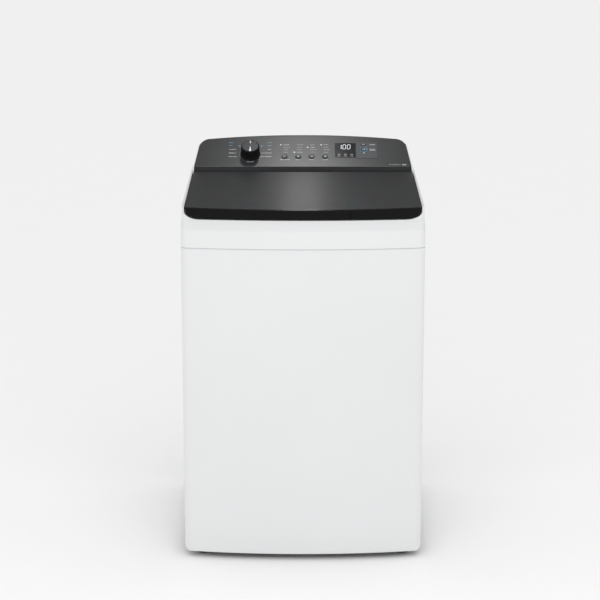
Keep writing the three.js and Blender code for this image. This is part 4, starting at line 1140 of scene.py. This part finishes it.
def tub_cover():
    """Ring over the outer tub down to the basket's mouth."""
    low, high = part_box("tub_cover")
    outer, seat = (high.x - low.x) / 2, TUB_TOP + GAP
    return ring_piece("tub_cover_ring", [
        (0.226, seat), (outer - 0.0026, seat), (outer - 0.0026, low.z), (outer, low.z),
        (outer, seat + 0.0018), (outer - 0.0012, seat + 0.003), (0.2315, seat + 0.003),
        (0.2295, seat + 0.004), (0.229, seat + 0.006), (0.229, high.z - 0.001),
        (0.228, high.z), (0.227, high.z), (0.226, high.z - 0.001),
    ], WHITE_PLASTIC)


def vane(angle):
    """A swept, rounded ridge on the pulsator."""
    along, across = 16, 8
    verts, faces = [], []
    for i in range(along + 1):
        s = i / along
        radius = 0.040 + 0.108 * s
        turn = angle + 0.42 * s
        swell = max(math.sin(math.pi * s), 0.02)
        half, height = 0.006 + 0.012 * swell ** 0.6, 0.0185 * swell ** 0.75
        for j in range(across + 1):
            t = 2 * j / across - 1
            x, y = radius, t * half
            z = VANE_FOOT
            if abs(t) < 1:
                z = VANE_FOOT + height * math.cos(t * math.pi / 2) ** 0.8
            verts.append((x * math.cos(turn) - y * math.sin(turn),
                          TUB_Y + x * math.sin(turn) + y * math.cos(turn), z))
    width = across + 1
    for i in range(along):
        for j in range(across):
            a = i * width + j
            faces.append((a, a + 1, a + 1 + width, a + width))
        a = i * width
        faces.append((a, a + width, a + width + across, a + across))
    faces.append(tuple(range(width)))
    faces.append(tuple(reversed(range(along * width, (along + 1) * width))))
    return smooth(make_object("vane", verts, faces, GREY_PLASTIC), 50)


def pulsator():
    """Dished disc with six swept vanes and a domed cap."""
    disc = turned("disc", [
        (0, 0.2145), (0.150, 0.2145), (0.1665, 0.2195), (0.168, 0.2215), (0.1675, 0.2235),
        (0.165, 0.2243), (0.155, 0.2236), (0.120, 0.2240), (0.070, 0.2262), (0.055, 0.2295),
        (0.046, 0.236), (0.040, 0.2425), (0.034, 0.2465), (0.0335, 0.2462), (0.033, 0.2468),
        (0.020, 0.2505), (0, 0.252),
    ], 96, GREY_PLASTIC, AXIS)
    parts = [smooth(disc, 28)] + [vane(i * math.pi / 3) for i in range(6)]
    return join("pulsator_disc", parts)


def drawer(side, name):
    """Dispenser drawer: an open tray with a curved pull."""
    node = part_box("detergent_drawer" if side < 0 else "softener_drawer")
    low, high = node
    tone = WHITE_PLASTIC if side < 0 else BLUE_PLASTIC
    inner, outer = (high.x, low.x) if side < 0 else (low.x, high.x)
    body_edge = inner + side * 0.008
    xs = sorted((body_edge, outer))
    tray = block("tray", (xs[0], low.y, low.z), (xs[1], high.y, high.z), tone)
    inside = sorted((body_edge + side * 0.003, outer - side * 0.0025))
    hollow = prism("hollow", rounded(inside[0], inside[1], low.y + 0.0025, high.y - 0.0025, 0.008),
                   low.z + 0.0024, high.z + 0.01)
    cut(tray, hollow)
    pull_x = sorted((inner, body_edge + side * 0.0005))
    pull = block("pull", (pull_x[0], -0.240, high.z - 0.006), (pull_x[1], -0.194, high.z), tone)
    unite(tray, pull)
    tray.name = name
    return round_edges(tray, 0.0007, 2, 40)


# ---------------------------------------------------------------- drive and back


def coil(name, x, y, low, high, turns, radius, wire, material):
    """A helical spring about an upright axis."""
    steps, around = turns * 28, 10
    verts, faces = [], []
    for i in range(steps + 1):
        a = 2 * math.pi * turns * i / steps
        z = low + (high - low) * i / steps
        for j in range(around):
            b = 2 * math.pi * j / around
            r = radius + wire * math.cos(b)
            verts.append((x + r * math.cos(a), y + r * math.sin(a), z + wire * math.sin(b)))
    for i in range(steps):
        for j in range(around):
            k = (j + 1) % around
            a, b = i * around, (i + 1) * around
            faces.append((a + j, a + k, b + k, b + j))
    faces.append(tuple(range(around)))
    faces.append(tuple(reversed(range(steps * around, (steps + 1) * around))))
    return smooth(make_object(name, verts, faces, material), 60)


def hanger(place):
    """Suspension rod with its ball cap and its cup."""
    x, y = axis_of(f"suspension_rod_{place}")
    rod = turned(f"hanger_rod_{place}", [
        (0, 0.254), (0.019, 0.254), (0.0208, 0.2552), (0.022, 0.2575), (0.022, 0.262),
        (0.0045, 0.262), (0.004, 0.2625), (0.004, 0.7546), (0.0125, 0.7546), (0.013, 0.756),
        (0.013, 0.7615), (0.0113, 0.765), (0.007, 0.768), (0.003, 0.769), (0, 0.769),
    ], 36, ZINC, (x, y))
    return smooth(rod)


def foot(place):
    """Levelling foot: ribbed pad, lock nut and threaded stem."""
    x, y = axis_of(f"leveling_foot_{place}")
    stem_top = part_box(f"leveling_foot_{place}")[1].z
    pad = turned("pad", [
        (0, 0), (0.0205, 0), (0.0222, 0.0012), (0.023, 0.0032), (0.023, 0.0085),
        (0.0215, 0.0098), (0.015, 0.0122), (0.014, 0.013), (0, 0.013),
    ], 48, RUBBER, (x, y))
    profile = [(0, 0.013)]
    turns = 22
    for step in range(turns):
        z = 0.0135 + (stem_top - 0.0155) * step / turns
        profile += [(0.0044, z), (0.005, z + 0.0009), (0.0044, z + 0.0018)]
    profile += [(0.0042, stem_top), (0, stem_top)]
    stem = turned("stem", profile, 24, ZINC, (x, y))
    return join(f"foot_{place}", [smooth(pad), smooth(stem, 60)])


def screw_head(x, y, z, material=ZINC, radius=0.0042):
    """A pan head with a cross, facing the back."""
    head = turned("head", [(0, 0), (radius, 0), (radius, 0.0008), (radius * 0.8, 0.0018),
                           (radius * 0.4, 0.0023), (0, 0.0024)], 24, material)
    for turn in (0, math.pi / 2):
        slot = block("slot", (-0.0004, -radius * 0.55, 0.0014), (0.0004, radius * 0.55, 0.004))
        slot.data.transform(Matrix.Rotation(turn, 4, "Z"))
        cut(head, slot)
    head.data.transform(Matrix.Translation((x, y, z)) @ Matrix.Rotation(-math.pi / 2, 4, "X"))
    return smooth(head)


def rear_fittings():
    """Screws round the rear sheet and its cover, and pressed ribs on the cover."""
    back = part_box("rear_panel")[1].y
    parts = []
    for side in (-1, 1):
        for z in (0.075, 0.26, 0.44, 0.62, 0.775):
            parts.append(screw_head(side * 0.277, back - 0.0002, z))
    cover_low, cover_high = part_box("rear_access_cover")
    for x in (cover_low.x + 0.010, cover_high.x - 0.010):
        for z in (cover_low.z + 0.012, cover_high.z - 0.012):
            parts.append(screw_head(x, cover_high.y - 0.0002, z))
    for step in range(6):
        z = cover_low.z + 0.055 + step * (cover_high.z - cover_low.z - 0.11) / 5
        outline = rounded(-0.072, 0.072, z - 0.006, z + 0.006, 0.0059)
        rib = prism("rib", outline, cover_high.y - 0.001, cover_high.y + 0.0022, "Y", ZINC)
        parts.append(freeze(round_edges(rib, 0.0018, 3, 40)))
    return join("rear_screws", parts)


def back_turned(name, profile, x, z, material):
    """A round fitting with its axis along Y, from a [radius, depth] profile."""
    piece = turned(name, profile, 48, material)
    piece.data.transform(Matrix.Translation((x, 0, z)) @ Matrix.Rotation(-math.pi / 2, 4, "X"))
    return smooth(piece)


def dress(name, material, bevel=0.0, angle=34):
    """Gives a CAD node its finish and softens its edges with modifiers only."""
    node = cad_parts[name]
    for holder in node.material_slots:
        holder.link = "OBJECT"
        holder.material = material
    if bevel:
        edges = node.modifiers.new("edges", "BEVEL")
        edges.width = bevel
        edges.segments = 2
        edges.limit_method = "ANGLE"
        edges.angle_limit = math.radians(angle)
    return node


# ---------------------------------------------------------------- assembly

add_piece(cabinet_skin(), "cabinet", "cabinet_paint", "cabinet_shell")
add_piece(deck_moulding(), "cabinet", "white_plastic", "top_deck")
add_piece(rear_fittings(), "cabinet", "zinc_steel")
add_piece(lid_panel(), "lid", "tinted_glass", "lid_glass")
add_piece(lid_lip(), "lid", "black_plastic", "lid_handle")
add_piece(console_panel(), "cabinet", "fascia_gloss", "control_fascia")
add_piece(face_prints(), "cabinet", "button_silver")
add_piece(start_panel(), "cabinet", "panel_grey", "start_panel")
add_piece(display_glass(), "cabinet", "display_black", "display_window")
add_piece(selector(), "knob", "black_plastic", "selector_knob")
ICONS = (dash_icon, dot_icon, wave_icon, hoop_icon)
for number, place in enumerate(OPTION_XS, 1):
    cap = key(f"option_key_cap_{number}", (place, OPTION_V, OPTION_RADIUS), ICONS[number - 1],
              KEY_RING, KEY_CAP)
    add_piece(cap, f"option_key_{number}", "button_silver", f"option_button_{number}")
add_piece(key("power_key_cap", POWER, power_icon, KEY_RING, PANEL_GREY), "power_key",
          "button_silver", "power_button")
add_piece(key("start_key_cap", START, start_icon, LED_BLUE, KEY_CAP), "start_key",
          "button_silver", "start_button")
add_piece(basket_drum(), "basket", "stainless", "wash_basket")
add_piece(balance_ring(), "basket", "grey_plastic", "balance_ring")
add_piece(tub_cover(), "tub", "grey_plastic", "tub_cover")
add_piece(pulsator(), "agitator", "grey_plastic", "pulsator")
add_piece(drawer(-1, "detergent_tray_body"), "detergent_tray", "grey_plastic", "detergent_drawer")
add_piece(drawer(1, "softener_tray_body"), "softener_tray", "grey_plastic", "softener_drawer")
for corner in CORNERS:
    add_piece(foot(corner), f"foot_{corner}", "rubber", f"leveling_foot_{corner}")
    add_piece(hanger(corner), "cabinet", "zinc_steel", f"suspension_rod_{corner}")
    spring_low, spring_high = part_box(f"suspension_spring_{corner}")
    middle = (spring_low + spring_high) / 2
    spring = coil(f"hanger_spring_{corner}", middle.x, middle.y, spring_low.z + 0.0024,
                  spring_high.z - 0.0024, 9, 0.015, 0.0019, DARK_STEEL)
    add_piece(spring, "cabinet", "dark_steel", f"suspension_spring_{corner}")
PORT_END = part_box("drain_port")[1].y
add_piece(back_turned("drain_spigot", [
    (0.009, 0.286), (0.014, 0.286), (0.014, 0.303), (0.0192, 0.303), (0.020, 0.3038),
    (0.020, 0.3052), (0.0192, 0.306), (0.014, 0.306), (0.014, 0.312), (0.0148, 0.3135),
    (0.0148, 0.3155), (0.014, 0.317), (0.014, PORT_END - 0.0008), (0.0132, PORT_END),
    (0.009, PORT_END),
], -0.2, 0.14, BLACK_GLOSS), "cabinet", "black_plastic", "drain_port")
add_piece(back_turned("cord_gland", [
    (0.0035, 0.292), (0.009, 0.292), (0.009, 0.302), (0.0125, 0.302), (0.013, 0.3026),
    (0.013, 0.3045), (0.0122, 0.305), (0.0085, 0.305), (0.0078, 0.3075), (0.0088, 0.3078),
    (0.0086, 0.3092), (0.0074, 0.3095), (0.007, 0.3118), (0.0078, 0.3122), (0.0076, 0.3136),
    (0.0064, 0.314), (0.006, 0.316), (0.0035, 0.316),
], 0.23, 0.72, RUBBER), "cabinet", "rubber", "cable_gland")

for name, material, bevel in (
    ("rear_panel", ZINC, 0.0003), ("rear_access_cover", ZINC, 0.0004),
    ("base_frame", DARK_STEEL, 0.0006), ("hinge_pin_left", ZINC, 0), ("hinge_pin_right", ZINC, 0),
    ("lid_lock", BLACK_GLOSS, 0.001), ("inlet_valve", BLUE_PLASTIC, 0.0008),
    ("water_spout", GREY_PLASTIC, 0.0008), ("level_sensor", GREY_PLASTIC, 0.001),
    ("drain_pump", BLACK_GLOSS, 0.001), ("drain_hose", RUBBER, 0),
    ("outer_tub", GREY_PLASTIC, 0.0008),
    ("control_board", BOARD, 0.0003), ("selector_switch", BLACK_GLOSS, 0.0005),
    ("sump_bellows", RUBBER, 0.0008), ("bearing_housing", ALLOY, 0.001),
    ("drive_motor", ALLOY, 0.0012), ("drive_belt", RUBBER, 0), ("basket_hub", ALLOY, 0.0005),
    ("lint_filter", GREY_PLASTIC, 0.001), ("drive_shaft", STEEL, 0.0003),
    ("drive_pulley", ALLOY, 0.0005), ("motor_pulley", ZINC, 0.0005),
    ("lid_frame", BLACK_GLOSS, 0.0008),
):
    dress(name, material, bevel)


# ---------------------------------------------------------------- studio

FLOOR_REACH = 160
SKY_LIGHT, SKY_IN_GLOSS = 0.89, 0.125
LENS = 104.2
EYE = (-0.0075, -4.468, 1.590)
EYE_DOWN = 12.46


def studio():
    """Pale floor, three soft lights and an even sky."""
    floor_mat = surface("pale_floor", (0.98, 0.98, 0.98), 0.8, mottle=0.003, relief=0.0,
                        Specular_IOR_Level=0.0)
    reach = FLOOR_REACH
    verts = [(-reach, -reach, 0), (reach, -reach, 0), (reach, reach, 0), (-reach, reach, 0)]
    floor = make_object("floor", verts, [(0, 1, 2, 3)], floor_mat)

    def area(name, place, target, size, power, diffuse, glossy):
        data = bpy.data.lights.new(name, "AREA")
        data.shape = "RECTANGLE"
        data.size, data.size_y = size
        data.energy = power
        lamp = bpy.data.objects.new(name, data)
        lamp.location = place
        aim = Vector(target) - Vector(place)
        lamp.rotation_euler = aim.to_track_quat("-Z", "Y").to_euler()
        lamp.visible_diffuse = diffuse
        lamp.visible_glossy = glossy
        lamp.visible_camera = False
        bpy.context.scene.collection.objects.link(lamp)

    area("overhead_strip", (0, 0.38, 2.4), (0, 0.15, 0.95), (0.16, 0.2), 3.6, False, True)
    area("rear_strip", (0, 0.6, 1.27), (0, 0, 0.91), (0.1, 0.08), 0.145, False, True)
    area("front_key", (0, -2.0, 1.7), (0, 0, 0.8), (2.2, 0.9), 9.5, True, False)
    world = bpy.data.worlds.new("studio")
    bpy.context.scene.world = world
    world.use_nodes = True
    tree = world.node_tree
    background = tree.nodes["Background"]
    background.inputs["Color"].default_value = (1, 1, 1, 1)
    ray = tree.nodes.new("ShaderNodeLightPath")
    level = tree.nodes.new("ShaderNodeMapRange")
    level.inputs["To Min"].default_value = SKY_LIGHT
    level.inputs["To Max"].default_value = SKY_IN_GLOSS
    tree.links.new(ray.outputs["Is Glossy Ray"], level.inputs["Value"])
    tree.links.new(level.outputs["Result"], background.inputs["Strength"])


def camera():
    """The photograph's viewing angle: in front, a little above the lid."""
    data = bpy.data.cameras.new("camera")
    data.sensor_width = 36
    data.lens = LENS
    eye = bpy.data.objects.new("camera", data)
    eye.location = EYE
    eye.rotation_euler = (math.radians(90 - EYE_DOWN), 0, 0)
    bpy.context.scene.collection.objects.link(eye)
    bpy.context.scene.camera = eye


studio()
camera()
bpy.context.scene.view_settings.view_transform = "Standard"
